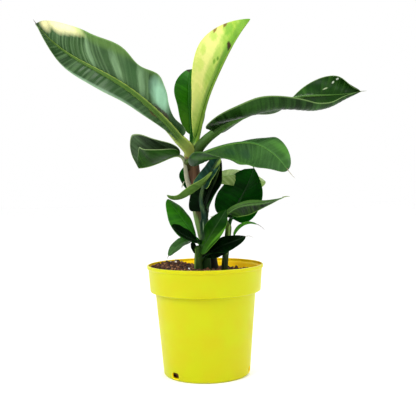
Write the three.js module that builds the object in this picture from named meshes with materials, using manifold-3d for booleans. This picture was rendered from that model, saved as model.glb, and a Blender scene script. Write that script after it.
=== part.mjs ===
// A young banana plant in a yellow plastic pot: one main stem and three suckers from one root.
// Millimetres, +Z up. The origin is the centre of the pot's flat underside, -Y is the plant's front.
import * as THREE from 'three';
import { mergeVertices } from 'three/addons/utils/BufferGeometryUtils.js';
import Module from 'manifold-3d';

const wasm = await Module();
wasm.setup();

// ---- Driving dimensions, mm and degrees ----
const gap = 0.3; // air left between neighbours

const pot = {
  height: 113.3,
  rimRadius: 60,
  bandHeight: 27,
  bandFootRadius: 57.2,
  bodyTopRadius: 51.9,
  bodyFootRadius: 45.3,
  footCorner: 8, // height of the rounded corner
  underRadius: 42.3,
  wall: 1.5,
  lip: 0.8, // how far the bead stands out
  segments: 36,
};
// Drain slots through the rounded foot, the first at a compass heading, and holes in the floor.
const slot = { count: 3, first: -131, width: 9.5, height: 7, lift: 1.6, depth: 16 };
const drain = { count: 6, radius: 3.5, ring: 25, sides: 16, depth: 8 };

const compost = {
  level: 107, // surface at the centre
  tiltBack: -0.05, // rise per mm towards the back
  tiltRight: -0.075, // rise per mm towards the right
  heap: { x: -33, y: 33, high: 4.6, spread: 9 },
  rings: 4,
  segments: 20,
};

// Stems: foot x and y, length, then keys along the stem for the rise above the horizon
// and the compass heading (0 = right, 90 = back), and the radius at foot and top.
const stems = {
  main: {
    foot: [7, 4], length: 138, rise: [85, 79, 81, 89], heading: [180, 184, 188],
    radius: [7, 7.8],
  },
  centre: {
    foot: [1, -9.5], length: 62, rise: [84, 88, 84], heading: [-90, -110, -120],
    radius: [5.6, 4.2],
  },
  front: {
    foot: [-7.4, -17], length: 32, rise: [87, 86], heading: [-40, -30], radius: [4.2, 4],
  },
  right: {
    foot: [18.8, -12.5], length: 56, rise: [85, 82, 80], heading: [12, 20, 50],
    radius: [3.5, 3.1],
  },
};

// Leaves: the foot of the stalk, stalk and blade lengths, keys along both for rise, heading and
// roll, then left and right of the midrib the widest half width, the fold up from flat and
// the curl from midrib to margin. late above 1 keeps the curl for the margin. swell lists
// bells that widen or pinch each half: where along the blade, how far it spreads, what share.
const leaves = {
  great: {
    foot: [-16, -2, 234], stalk: 12, blade: 187, rise: [55, 40, 29, 50],
    heading: [-174, -167, -189, -142], roll: [-67, -66, -90, -53], width: [17, 36],
    shape: [0.39, 0.42], sweep: [-0.05, -0.14],
    swell: [[], [[0.11, 0.106, -0.64], [0.27, 0.052, -0.15], [0.42, 0.088, -0.28], [0.2, 0.049, -0.12]]],
    fold: [[25, 11, 25], [42, 42, 39]], curl: [[-4, -16, 3], [6, -32, 21]], rib: [6.2, 0.8],
  },
  spear: {
    foot: [-14, 3, 226], stalk: 14, blade: 144, rise: [71, 74, 64, 60, 49],
    heading: [8, 17, 13, 5, 2], roll: [27, 27, -13], width: [28, 37], shape: [1.17, 0.91],
    sweep: [0.05, -0.27], fold: [[99, 64], [71, 74]], curl: [[30, -1], [-1, 0]],
    rib: [4.2, 0.7],
  },
  back: {
    foot: [-11, 7, 240], stalk: 8, blade: 72, rise: [75, 78, 80], heading: [91, 110, 40],
    roll: [0, 0, 5], width: [17, 17], shape: [0.5, 0.46], fold: [[14, 14], [12, 12]],
    curl: [[12, 12], [10, 10]], rib: [3, 0.5],
  },
  long: {
    foot: [-3, 0, 235], stalk: 23, blade: 164, rise: [54, 22, 17, 3, 4],
    heading: [-16, -19, 7, 25, -37], roll: [-38, 25, -2, 45], width: [35, 41],
    shape: [0.27, 0.51], sweep: [-0.11, -0.18], fold: [[0, -22, -5, 51], [-3, -16, -90, 6]],
    curl: [[2, -12, 13, 128], [-10, 132, 168, 69]], late: [1, 1.5], rib: [5.5, 0.7],
  },
  smallLeft: {
    foot: [-15, -4, 196], stalk: 34, blade: 46, rise: [65, 81, -13, -22, 0],
    heading: [-127, -125, -157, -164, -149], roll: [-37, -63, -48, -8], width: [31, 35],
    shape: [0.67, 0.37], sweep: [0.32, 0.23], fold: [[74, 51], [61, 43]],
    curl: [[39, 22], [40, 10]], rib: [3, 0.5],
  },
  broadRight: {
    foot: [-16, -11, 220], stalk: 5, blade: 132, rise: [21, 11, -15, -56],
    heading: [-48, -32, -53, -34], roll: [40, 32, 50, 21], width: [26, 35], shape: [0.15, 0.49],
    sweep: [-0.26, 0.43], fold: [[-56, -34, -17, 22], [-53, -16, -26, 11]],
    curl: [[62, 5, -29, 40], [240, 48, 81, -7]], late: [1, 1.5],
  },
  upturned: {
    foot: [-2, -17, 174], stalk: 19, blade: 37, rise: [105, 71, 59, 54],
    heading: [-1, 0, -5, 11], roll: [57, 53, 47, 67], width: [14, 9], shape: [0.15, 0.59],
    sweep: [-0.15, -0.14], fold: [[2, -9], [18, -25]], curl: [[2, -2], [10, -11]],
    rib: [2.6, 0.5],
  },
  arched: {
    foot: [14, -13, 211], stalk: 5, blade: 62, rise: [-49, -37, -25, 44],
    heading: [-157, -158, -184, -110], roll: [-29, -29, -17], width: [13, 6],
    shape: [0.5, 0.85], sweep: [-0.01, 0.08], fold: [[61, 50, 48], [95, 93, 81]],
    curl: [[20, 20, 15], [17, 15, 11]],
  },
  shaded: {
    foot: [3, -13, 167], stalk: 1, blade: 57, rise: [81, 72, 71], heading: [57, 31, 19],
    roll: [-6, 34, 15], width: [20, 20], shape: [0.1, 0.56], sweep: [-0.07, 0.13],
    fold: [[19, 4], [38, 8]], curl: [[8, -7], [36, 2]],
  },
  upright: {
    foot: [27, -7, 159], stalk: 3, blade: 68, rise: [48, 44, 64], heading: [58, 55, 48],
    roll: [22, 6, -18], width: [28, 25], shape: [0.31, 0.25], sweep: [-0.08, -0.14],
    fold: [[-5, 14], [-22, 26]], curl: [[-3, 16], [-17, 32]],
  },
  narrowRight: {
    foot: [23, -14, 166], stalk: 1, blade: 61, rise: [40, 3, 23], heading: [7, -23, -16],
    roll: [0, 17, -1], width: [5, 26], shape: [0.2, 0.62], sweep: [-0.08, 0.04],
    fold: [[26, 16], [-10, 1]], curl: [[5, 14], [-15, -5]],
  },
  brightLeft: {
    foot: [-7, -17, 140], stalk: 3, blade: 49, rise: [55, 53, 52], heading: [-143, -165, -178],
    roll: [-60, -49, -33], width: [18, 16], shape: [0.55, 0.59], fold: [[-13, 4], [-6, -7]],
    curl: [[-23, -2], [-16, -17]],
  },
  darkLeft: {
    foot: [-6, -22, 139], stalk: 2, blade: 35, rise: [14, 27, 41], heading: [-135, -143, -145],
    roll: [-43, -40, -43], width: [10, 10], shape: [0.5, 0.5], fold: [[14, 8], [16, 10]],
    curl: [[5, -2], [7, 1]],
  },
  lowLeft: {
    foot: [-11, -14, 139], stalk: 3, blade: 30, rise: [9, -31, -51],
    heading: [-152, -156, -157], roll: [-40, -30, -33], width: [7, 7], shape: [0.47, 0.63],
    fold: [[17, 12], [13, 5]], curl: [[8, 2], [4, -6]],
  },
  front: {
    foot: [-5, -22, 127], stalk: 2, blade: 51, rise: [58, 55, 56], heading: [-47, -9, 20],
    roll: [59, 43, 64], width: [14, 18], shape: [0.53, 1.04], sweep: [0.05, -0.04],
    fold: [[1, 9], [6, 3]], curl: [[-2, 6], [-2, 6]],
  },
  lowRight: {
    foot: [4, -20, 126], stalk: 2, blade: 41, rise: [38, 20, 22], heading: [-29, -17, -17],
    roll: [40, 53, 32], width: [9, 11], shape: [0.46, 0.54], sweep: [-0.08, 0.04],
    fold: [[17, -4], [18, 2]], curl: [[7, -16], [9, -9]],
  },
  lowest: {
    foot: [-2, -16, 125], stalk: 2, blade: 25, rise: [9, 7, 4], heading: [-10, -8, -9],
    roll: [41, 51, 20], width: [5, 8], shape: [0.25, 0.58], fold: [[21, -11], [17, 1]],
    curl: [[9, -19], [9, -9]],
  },
  curled: {
    foot: [28, -10, 140], stalk: 4, blade: 32, rise: [64, 30, -19], heading: [-33, -32, -34],
    roll: [6, -10, -2], width: [3, 3], shape: [0.54, 0.78], fold: [[20, 20], [29, 35]],
    curl: [[20, 20], [19, 25]],
  },
  pale: {
    foot: [-6, 14, 186], stalk: 24, blade: 66, rise: [45, 19, -6, -31],
    heading: [65, 28, 11, -5], roll: [-16, 20, 4], width: [12, 17], shape: [0.49, 0.31],
    sweep: [-0.01, -0.02], fold: [[11, 13], [-18, -25]], curl: [[1, 2], [-14, -17]],
    rib: [2.2, 0.5],
  },
  tucked: {
    foot: [-9, 12, 182], stalk: 8, blade: 33, rise: [54, 65, 77], heading: [138, 122, 2],
    roll: [-13, 3], width: [9, 10], shape: [0.5, 0.4], fold: [[-3, 13], [8, 8]],
    curl: [[-12, 5], [0, 0]],
  },
  tiny: {
    foot: [-13, -15, 139], stalk: 2, blade: 12, rise: [-60, -72], heading: [-60, -50],
    width: [3.4, 3.4], shape: [0.5, 0.6], fold: [[10, 10], [10, 10]], curl: [[8, 4], [8, 4]],
  },
};
const bladeThickness = 1.2;
const ribShare = 0.62; // of the blade, carried by the stalk underneath
const largeBlade = { longerThan: 80, rows: 12, columns: 3 }; // columns on each side of the midrib
const smallBlade = { rows: 7, columns: 2 };

const looks = {
  pot: { color: 0xdadc1c, roughness: 0.4, metalness: 0 },
  compost: { color: 0x3a2517, roughness: 1, metalness: 0 },
  stem: { color: 0x8f8a4a, roughness: 0.6, metalness: 0 },
  stalk: { color: 0x8fae4a, roughness: 0.5, metalness: 0 },
  leaf: { color: 0x3c7a34, roughness: 0.45, metalness: 0 },
  spear: { color: 0xc3da5c, roughness: 0.45, metalness: 0 },
};

// ---- Geometry helpers ----
const radians = THREE.MathUtils.degToRad;

// Smooth curve through evenly spaced keys, t from 0 to 1.
function keyed(keys, t) {
  if (keys.length === 1) return keys[0];
  const last = keys.length - 1;
  const at = (i) => {
    if (i < 0) return 2 * keys[0] - keys[1];
    if (i > last) return 2 * keys[last] - keys[last - 1];
    return keys[i];
  };
  const x = Math.min(Math.max(t, 0), 1) * last;
  const i = Math.min(Math.floor(x), last - 1);
  const f = x - i;
  const [a, b, c, d] = [at(i - 1), at(i), at(i + 1), at(i + 2)];
  return b + 0.5 * f * (c - a + f * (2 * a - 5 * b + 4 * c - d + f * (3 * (b - c) + d - a)));
}

// Direction of growth, upper face and right-hand side of a limb at share t of its length.
function axesAt(limb, t) {
  const e = radians(keyed(limb.rise, t));
  const a = radians(keyed(limb.heading, t));
  const r = radians(keyed(limb.roll ?? [0], t));
  const along = new THREE.Vector3(Math.cos(e) * Math.cos(a), Math.cos(e) * Math.sin(a), Math.sin(e));
  const up0 = new THREE.Vector3(-Math.sin(e) * Math.cos(a), -Math.sin(e) * Math.sin(a), Math.cos(e));
  const side0 = new THREE.Vector3(Math.sin(a), -Math.cos(a), 0);
  const up = up0.clone().multiplyScalar(Math.cos(r)).addScaledVector(side0, Math.sin(r));
  const side = side0.multiplyScalar(Math.cos(r)).addScaledVector(up0, -Math.sin(r));
  return { along, up, side };
}

// Points of a limb's spine at evenly spaced shares of its length.
function spine(limb, length) {
  const steps = 240;
  const points = [new THREE.Vector3(...limb.foot)];
  for (let i = 0; i < steps; i += 1) {
    const { along } = axesAt(limb, (i + 0.5) / steps);
    points.push(points[i].clone().addScaledVector(along, length / steps));
  }
  return (t) => {
    const x = Math.min(Math.max(t, 0), 1) * steps;
    const i = Math.min(Math.floor(x), steps - 1);
    return points[i].clone().lerp(points[i + 1], x - i);
  };
}

// Closed solid from rings of points, each ring with the same count, capped at both ends.
function loft(rings) {
  const n = rings[0].length;
  const vertices = rings.flat().flatMap((p) => [p.x, p.y, p.z]);
  const triangles = [];
  for (let i = 0; i < rings.length - 1; i += 1) {
    for (let j = 0; j < n; j += 1) {
      const [a, b] = [i * n + j, i * n + ((j + 1) % n)];
      triangles.push(a, b, b + n, a, b + n, a + n);
    }
  }
  const cap = (start, ring, flip) => {
    const centre = ring.reduce((s, p) => s.add(p), new THREE.Vector3()).divideScalar(n);
    const c = vertices.length / 3;
    vertices.push(centre.x, centre.y, centre.z);
    for (let j = 0; j < n; j += 1) {
      const [a, b] = [start + j, start + ((j + 1) % n)];
      if (flip) triangles.push(c, a, b);
      else triangles.push(c, b, a);
    }
  };
  cap(0, rings[0], false);
  cap((rings.length - 1) * n, rings[rings.length - 1], true);
  return solid(vertices, triangles);
}

function solid(vertices, triangles) {
  const mesh = new wasm.Mesh({
    numProp: 3,
    vertProperties: new Float32Array(vertices),
    triVerts: new Uint32Array(triangles),
  });
  return new wasm.Manifold(mesh);
}

// Round limb along its spine, drop below it; grow widens it for use as a cutter.
function limbSolid(limb, shareOf, drop, radiusAt, stations, sides, grow = 0) {
  const rings = [];
  for (let i = 0; i <= stations; i += 1) {
    const t = i / stations;
    const { along, up, side } = axesAt(limb, shareOf(t));
    const radius = radiusAt(t) + grow;
    const centre = limb.at(shareOf(t)).addScaledVector(up, -drop(t));
    if (i === 0) centre.addScaledVector(along, -grow);
    if (i === stations) centre.addScaledVector(along, grow);
    rings.push(ringOf(centre, side, up, radius, sides));
  }
  return loft(rings);
}

function ringOf(centre, side, up, radius, sides) {
  const ring = [];
  for (let j = 0; j < sides; j += 1) {
    const a = (j / sides) * 2 * Math.PI;
    const point = centre.clone().addScaledVector(side, radius * Math.cos(a));
    ring.push(point.addScaledVector(up, -radius * Math.sin(a)));
  }
  return ring;
}

// Half width of a blade as a share of its widest, zero at foot and tip.
function outline(t, [p, q]) {
  const widest = p / (p + q);
  return (t / widest) ** p * ((1 - t) / (1 - widest)) ** q;
}

// Half width on one side, left 0 or right 1, with the sum of its bells added.
function halfWidth(leaf, k, tau) {
  let bells = 1;
  for (const [at, spread, share] of leaf.swell?.[k] ?? []) {
    bells += share * Math.exp(-(((tau - at) / spread) ** 2));
  }
  return leaf.width[k] * outline(tau, leaf.shape) * bells;
}

// One cross-section of a blade from the left margin over the midrib to the right margin.
function section(leaf, tau, columns, grow) {
  const t = (leaf.stalk + leaf.blade * tau) / (leaf.stalk + leaf.blade);
  const { along, up, side } = axesAt(leaf, t);
  const middle = leaf.at(t);
  const half = (k) => {
    const sign = k === 0 ? -1 : 1;
    const width = halfWidth(leaf, k, tau) + grow;
    const fold = radians(keyed(leaf.fold[k], tau));
    const curl = radians(keyed(leaf.curl[k], tau));
    const fine = 12;
    const points = [];
    let [across, above] = [0, 0];
    for (let i = 0; i < fine; i += 1) {
      const angle = fold + curl * ((i + 0.5) / fine) ** (leaf.late?.[k] ?? 1);
      across += (Math.cos(angle) * width) / fine;
      above += (Math.sin(angle) * width) / fine;
      if ((i + 1) % (fine / columns) === 0) {
        const swept = (leaf.sweep?.[k] ?? 0) * width * ((i + 1) / fine) ** 1.5;
        const point = middle.clone().addScaledVector(side, sign * across);
        points.push(point.addScaledVector(up, above).addScaledVector(along, swept));
      }
    }
    return points;
  };
  return [...half(0).reverse(), middle, ...half(1)];
}

// Thin blade: the upper face is the leaf's surface, the lower face lies one thickness under it.
function bladeSolid(leaf, grow = 0) {
  const mesh = leaf.blade > largeBlade.longerThan ? largeBlade : smallBlade;
  const last = mesh.rows;
  const rows = [];
  for (let i = 0; i <= last; i += 1) {
    const tau = 0.02 + 0.965 * (i / last);
    rows.push(section(leaf, tau, mesh.columns, grow));
  }
  const n = rows[0].length;
  const normalAt = (i, j) => {
    const du = rows[Math.min(i + 1, last)][j].clone().sub(rows[Math.max(i - 1, 0)][j]);
    const cross = (a, b) => rows[i][b].clone().sub(rows[i][a]).cross(du).normalize();
    if (j === 0) return cross(0, 1);
    if (j === n - 1) return cross(n - 2, n - 1);
    const [a, b] = [cross(j - 1, j), cross(j, j + 1)];
    const sum = a.clone().add(b).normalize();
    return sum.divideScalar(Math.max(sum.dot(a), 0.4)); // mitred at a sharp fold
  };
  const rings = rows.map((row, i) => {
    const under = row.map((p, j) => p.clone().addScaledVector(normalAt(i, j), -bladeThickness - grow));
    const over = grow ? row.map((p, j) => p.clone().addScaledVector(normalAt(i, j), grow)) : row;
    return [...over, ...under.reverse()];
  });
  if (grow) {
    const footAlong = axesAt(leaf, leaf.stalk / (leaf.stalk + leaf.blade)).along;
    const tipAlong = axesAt(leaf, 1).along;
    rings[0] = rings[0].map((p) => p.clone().addScaledVector(footAlong, -grow));
    rings[last] = rings[last].map((p) => p.clone().addScaledVector(tipAlong, grow));
  }
  return loft(rings);
}

// ---- Parts, each made from what it may touch ----
const parts = []; // {name, look, body, cutter}

function addPart(name, look, body, cutter) {
  const box = body.boundingBox();
  const near = (b) => [0, 1, 2].every((k) => b.min[k] <= box.max[k] && b.max[k] >= box.min[k]);
  let cut = body;
  for (const other of parts) {
    if (other.cutter && near(other.cutter.boundingBox())) cut = cut.subtract(other.cutter);
  }
  const pieces = cut.simplify(0.03).decompose();
  pieces.sort((a, b) => b.volume() - a.volume());
  parts.push({ name, look, body: pieces[0], cutter: cutter?.add(body).simplify(0.03) });
}

// Pot: turned shell with a thick lip, a band and a rounded foot, then the drain slots and holes.
function potSolid() {
  const { height, wall, lip } = pot;
  const bandFoot = height - pot.bandHeight;
  const outer = [
    [0, 0],
    [pot.underRadius, 0],
    [pot.underRadius + 1.6, 0.9],
    [pot.underRadius + 2.6, 3.2],
    [pot.bodyFootRadius, pot.footCorner],
    [pot.bodyTopRadius, bandFoot - 1.6],
    [pot.bandFootRadius, bandFoot],
    [pot.rimRadius - 1.1, height - 3.4],
    [pot.rimRadius - 0.4 + lip - 0.4, height - 2.6],
    [pot.rimRadius, height - 0.8],
    [pot.rimRadius - 0.6, height],
  ];
  const inner = [
    [pot.rimRadius - 2 * wall + 0.6, height],
    [pot.rimRadius - 2 * wall, height - 2],
    [pot.bandFootRadius - wall, bandFoot + 1],
    [pot.bodyTopRadius - wall, bandFoot - 2],
    [pot.bodyFootRadius - wall, pot.footCorner + 1],
    [pot.underRadius - 1, 2],
    [0, 2],
  ];
  const profile = [...outer, ...inner].map(([x, y]) => new THREE.Vector2(x, y));
  let shell = fromGeometry(new THREE.LatheGeometry(profile, pot.segments).rotateX(Math.PI / 2));
  for (let i = 0; i < slot.count; i += 1) {
    const cutter = new THREE.BoxGeometry(slot.depth, slot.width, slot.height)
      .translate(pot.bodyFootRadius, 0, slot.lift + slot.height / 2)
      .rotateZ(radians(slot.first + (360 / slot.count) * i));
    shell = shell.subtract(fromGeometry(cutter));
  }
  for (let i = 0; i < drain.count; i += 1) {
    const cutter = new THREE.CylinderGeometry(drain.radius, drain.radius, drain.depth, drain.sides)
      .rotateX(Math.PI / 2)
      .translate(drain.ring, 0, 0)
      .rotateZ(radians((360 / drain.count) * (i + 0.5)));
    shell = shell.subtract(fromGeometry(cutter));
  }
  return shell;
}

function fromGeometry(geometry) {
  geometry.deleteAttribute('normal');
  geometry.deleteAttribute('uv');
  const merged = mergeVertices(geometry, 1e-4);
  return solid(merged.attributes.position.array, merged.index.array);
}

// Height of the compost's surface.
function soilTop(x, y) {
  const { heap } = compost;
  const away = ((x - heap.x) ** 2 + (y - heap.y) ** 2) / (2 * heap.spread ** 2);
  const lumps = 0.7 * Math.sin(x * 0.31 + 1) * Math.cos(y * 0.27) + 0.5 * Math.sin(x * 0.13 - y * 0.41);
  const flat = compost.level + compost.tiltRight * x + compost.tiltBack * y;
  return Math.min(flat + heap.high * Math.exp(-away) + lumps, pot.height - 1.2);
}

// Inner radius of the pot's wall at a height, and the compost that fills it.
function wallInside(z) {
  const bandFoot = pot.height - pot.bandHeight;
  if (z > bandFoot + 1) {
    const share = (z - bandFoot - 1) / (pot.bandHeight - 3);
    return pot.bandFootRadius - pot.wall + share * (pot.rimRadius - pot.bandFootRadius - pot.wall);
  }
  const share = (z - pot.footCorner - 1) / (bandFoot - 3 - pot.footCorner);
  return pot.bodyFootRadius - pot.wall + Math.max(share, 0) * (pot.bodyTopRadius - pot.bodyFootRadius);
}

function compostSolid() {
  const bandFoot = pot.height - pot.bandHeight;
  const n = compost.segments;
  const circle = (radius, heightAt) => {
    const ring = [];
    for (let j = 0; j < n; j += 1) {
      const a = (j / n) * 2 * Math.PI;
      const [x, y] = [radius * Math.cos(a), radius * Math.sin(a)];
      ring.push(new THREE.Vector3(x, y, heightAt(x, y)));
    }
    return ring;
  };
  const clear = gap + 0.15;
  const rings = [
    circle(pot.underRadius - 2.6, () => 2 + clear),
    circle(pot.bodyFootRadius - pot.wall - clear, () => pot.footCorner + 1.8),
    circle(pot.bodyTopRadius - pot.wall - clear - 0.1, () => bandFoot - 2),
    circle(pot.bandFootRadius - pot.wall - clear - 0.1, () => bandFoot + 2.2),
  ];
  const edge = circle(wallInside(100) - clear - 0.1, () => 100);
  rings.push(edge);
  rings.push(edge.map((p) => {
    const z = Math.max(soilTop(p.x, p.y), 101);
    const scale = (wallInside(z) - clear - 0.1) / wallInside(100);
    return new THREE.Vector3(p.x * scale, p.y * scale, z);
  }));
  for (let k = compost.rings - 1; k > 0; k -= 1) {
    rings.push(circle((54 * k) / compost.rings, soilTop));
  }
  return loft(rings);
}

// Pot first, then stems, then the compost that closes round them, then leaves and stalks.
addPart('pot', 'pot', potSolid(), null);
for (const [name, stem] of Object.entries(stems)) {
  const [x, y] = stem.foot;
  const limb = { ...stem, foot: [x, y, soilTop(x, y) - 6] };
  limb.at = spine(limb, stem.length);
  const radiusAt = (t) => stem.radius[0] + (stem.radius[1] - stem.radius[0]) * t;
  const body = (grow) => limbSolid(limb, (t) => t, () => 0, radiusAt, 6, 12, grow);
  addPart(`stem_${name}`, 'stem', body(0), body(gap));
}
addPart('compost', 'compost', compostSolid(), null);

for (const leaf of Object.values(leaves)) {
  leaf.at = spine(leaf, leaf.stalk + leaf.blade);
}
for (const [name, leaf] of Object.entries(leaves)) {
  addPart(`leaf_${name}`, name === 'spear' ? 'spear' : 'leaf', bladeSolid(leaf), bladeSolid(leaf, gap));
}
for (const [name, leaf] of Object.entries(leaves)) {
  if (!leaf.rib) continue;
  const [thick, fine] = leaf.rib;
  const length = leaf.stalk + leaf.blade * ribShare;
  const shareOf = (t) => (t * length) / (leaf.stalk + leaf.blade);
  const radiusAt = (t) => fine + (thick - fine) * (1 - shareOf(t)) ** 1.4;
  const keel = (t) => {
    const tau = Math.max((t * length - leaf.stalk) / leaf.blade, 0);
    const fold = radians(keyed(leaf.fold[0], tau) + keyed(leaf.fold[1], tau)) / 2;
    return bladeThickness / Math.max(Math.cos(fold), 0.4);
  };
  const under = (t) => (radiusAt(t) + keel(t) + 2 * gap) * Math.min((t * length) / leaf.stalk, 1);
  const body = (grow) => limbSolid(leaf, shareOf, under, radiusAt, 9, 8, grow);
  addPart(`stalk_${name}`, 'stalk', body(0), body(gap));
}

// ---- The object ----
const plant = new THREE.Group();
plant.name = 'banana_plant';
for (const { name, look, body } of parts) {
  const mesh = body.getMesh();
  const geometry = new THREE.BufferGeometry();
  geometry.setAttribute('position', new THREE.BufferAttribute(mesh.vertProperties, 3));
  geometry.setIndex(new THREE.BufferAttribute(mesh.triVerts, 1));
  geometry.computeVertexNormals();
  const node = new THREE.Mesh(geometry, new THREE.MeshStandardMaterial(looks[look]));
  node.name = name;
  plant.add(node);
}

export default plant;
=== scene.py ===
import math

import bmesh
import bpy
import numpy as np
from mathutils import Matrix, Vector


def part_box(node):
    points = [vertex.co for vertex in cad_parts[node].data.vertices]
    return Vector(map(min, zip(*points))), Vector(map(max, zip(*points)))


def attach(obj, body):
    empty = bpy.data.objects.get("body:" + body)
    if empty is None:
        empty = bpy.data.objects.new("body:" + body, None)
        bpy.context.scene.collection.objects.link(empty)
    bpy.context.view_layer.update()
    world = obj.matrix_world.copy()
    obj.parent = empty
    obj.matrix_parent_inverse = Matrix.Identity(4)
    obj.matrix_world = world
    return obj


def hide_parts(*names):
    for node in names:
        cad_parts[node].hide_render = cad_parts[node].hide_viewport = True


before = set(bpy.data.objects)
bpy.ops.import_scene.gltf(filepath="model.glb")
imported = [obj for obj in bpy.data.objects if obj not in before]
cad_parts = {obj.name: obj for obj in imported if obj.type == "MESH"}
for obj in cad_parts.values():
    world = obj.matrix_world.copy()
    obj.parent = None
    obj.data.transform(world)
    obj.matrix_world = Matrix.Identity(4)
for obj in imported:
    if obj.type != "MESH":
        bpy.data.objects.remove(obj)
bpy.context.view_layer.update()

mm = 0.001
rng = np.random.default_rng(11)


def srgb(text):
    # hex colour to linear light: the usual two-part sRGB curve, channel by channel
    c = np.array([int(text[i:i + 2], 16) for i in (1, 3, 5)]) / 255
    c = np.where(c <= 0.04045, c / 12.92, ((c + 0.055) / 1.055) ** 2.4)
    return (*c.tolist(), 1.0)


def fill(tree, node, links):
    # sockets of a node from values, sockets or other nodes, which stand for their first live output
    for key, value in links.items():
        if isinstance(value, bpy.types.Node):
            value = next(socket for socket in value.outputs if socket.enabled)
        if isinstance(value, bpy.types.NodeSocket):
            tree.links.new(value, node.inputs[key])
        else:
            node.inputs[key].default_value = value
    return node


def addNode(tree, kind, links=None, **settings):
    # one node: settings are its own properties, links what goes into its sockets
    node = tree.nodes.new("ShaderNode" + kind)
    for name, value in settings.items():
        setattr(node, name, value)
    return fill(tree, node, links or {})


def newMaterial(name, **sockets):
    # an empty material with its output and a Principled shader joined up; sockets are its fixed values
    material = bpy.data.materials.new(name)
    material.use_nodes = True
    tree = material.node_tree
    tree.nodes.clear()
    fixed = {key.replace("_", " "): value for key, value in sockets.items()}
    shader = addNode(tree, "BsdfPrincipled", fixed)
    addNode(tree, "OutputMaterial", {"Surface": shader})
    return material, tree, shader


def keyed(keys, t):
    # smooth curve through evenly spaced keys: a cubic between each pair, sloped by its neighbours
    k = np.asarray(keys, float)
    if len(k) == 1:
        return np.full(np.shape(t), k[0])
    x = np.clip(t, 0, 1) * (len(k) - 1)
    i = np.minimum(x.astype(int), len(k) - 2)
    f = x - i
    k = np.concatenate([[2 * k[0] - k[1]], k, [2 * k[-1] - k[-2]]])
    a, b, c, d = k[i], k[i + 1], k[i + 2], k[i + 3]
    return b + 0.5 * f * (c - a + f * (2 * a - 5 * b + 4 * c - d + f * (3 * (b - c) + d - a)))


def limbAxes(limb, t):
    # growth direction from rise and heading, then face and right side turned about it by the roll
    e, a = np.radians(keyed(limb["rise"], t)), np.radians(keyed(limb["heading"], t))
    r = np.radians(keyed(limb.get("roll", [0]), t))[..., None]
    along = np.stack([np.cos(e) * np.cos(a), np.cos(e) * np.sin(a), np.sin(e)], -1)
    face = np.stack([-np.sin(e) * np.cos(a), -np.sin(e) * np.sin(a), np.cos(e)], -1)
    side = np.stack([np.sin(a), -np.cos(a), np.zeros_like(a)], -1)
    return along, face * np.cos(r) + side * np.sin(r), side * np.cos(r) - face * np.sin(r)


def limbPoints(limb, length, t):
    # spine: the growth direction added up in small steps from the foot
    steps = 240
    fine = np.linspace(0, 1, steps + 1)
    along, _, _ = limbAxes(limb, (fine[1:] + fine[:-1]) / 2)
    path = np.concatenate([[np.zeros(3)], np.cumsum(along, 0)]) * length / steps + limb["foot"]
    return np.stack([np.interp(t, fine, path[:, i]) for i in range(3)], -1)


def unit(v):
    # each vector divided by its own length
    return v / np.maximum(np.linalg.norm(v, axis=-1, keepdims=True), 1e-9)


def gridFaces(rows, columns):
    # quads between neighbouring rows; the last column joins the first
    r, c = np.meshgrid(np.arange(rows - 1), np.arange(columns), indexing="ij")
    a, b = r * columns + c, r * columns + (c + 1) % columns
    return np.stack([a, b, b + columns, a + columns], -1).reshape(-1, 4)


def newObject(name, data):
    # an object at the origin, in the scene
    thing = bpy.data.objects.new(name, data)
    bpy.context.scene.collection.objects.link(thing)
    return thing


def makePiece(name, chunks, materials, replaces=(), crease=None):
    # joins chunks (points in mm, faces, material number, uv layers) into one welded mesh in metres
    counts = [c["points"].reshape(-1, 3).shape[0] for c in chunks]
    starts = np.cumsum([0] + counts[:-1])
    points = np.concatenate([c["points"].reshape(-1, 3) for c in chunks]) * mm
    faces = np.concatenate([c["faces"] + s for c, s in zip(chunks, starts)])
    paint = np.concatenate([np.broadcast_to(c.get("paint", 0), len(c["faces"])) for c in chunks])
    mesh = bpy.data.meshes.new(name)
    mesh.from_pydata(points.tolist(), [], faces.tolist())
    mesh.polygons.foreach_set("material_index", paint.astype(np.int32))
    corner = np.empty(len(mesh.loops), np.int32)
    mesh.loops.foreach_get("vertex_index", corner)
    for layer in chunks[0].get("uv", {}):
        uv = np.concatenate([c["uv"][layer].reshape(-1, 2) for c in chunks])
        mesh.uv_layers.new(name=layer).data.foreach_set("uv", uv[corner].ravel())
    welded = bmesh.new()
    welded.from_mesh(mesh)
    bmesh.ops.remove_doubles(welded, verts=welded.verts, dist=2e-6)
    welded.to_mesh(mesh)
    welded.free()
    mesh.shade_smooth()
    if crease is not None:
        mesh.set_sharp_from_angle(angle=math.radians(crease))
    for material in materials:
        mesh.materials.append(material)
    piece = newObject(name, mesh)
    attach(piece, "root")
    if replaces:
        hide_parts(*replaces)
    return piece


def tubeChunk(path, radius, up, sides=20, paint=0, groove=0.0):
    # tube: rings square to the path closed to a point at both ends, groove presses in the upper side
    path, radius = np.asarray(path, float), np.asarray(radius, float)
    along = unit(np.gradient(path, axis=0))
    up = unit(up - (up * along).sum(-1, keepdims=True) * along)
    side = np.cross(up, along)
    a = np.linspace(-np.pi / 2, 1.5 * np.pi, sides, endpoint=False)
    dent = 1 - np.broadcast_to(groove, radius.shape)[:, None] * np.exp(-(((a - np.pi / 2) / 0.55) ** 2))
    r = radius[:, None] * dent
    ring = side[:, None] * (r * np.cos(a))[..., None] + up[:, None] * (r * np.sin(a))[..., None]
    cap = np.ones((1, sides, 1))
    points = np.concatenate([path[0] * cap, path[:, None] + ring, path[-1] * cap])
    share = np.concatenate([[0], np.linspace(0, 1, len(path)), [1]])
    place = np.stack(np.broadcast_arrays(share[:, None], (a / (2 * np.pi))[None]), -1)
    faces = gridFaces(len(points), sides)
    return {"points": points, "faces": faces, "paint": paint, "uv": {"place": place}}


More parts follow.
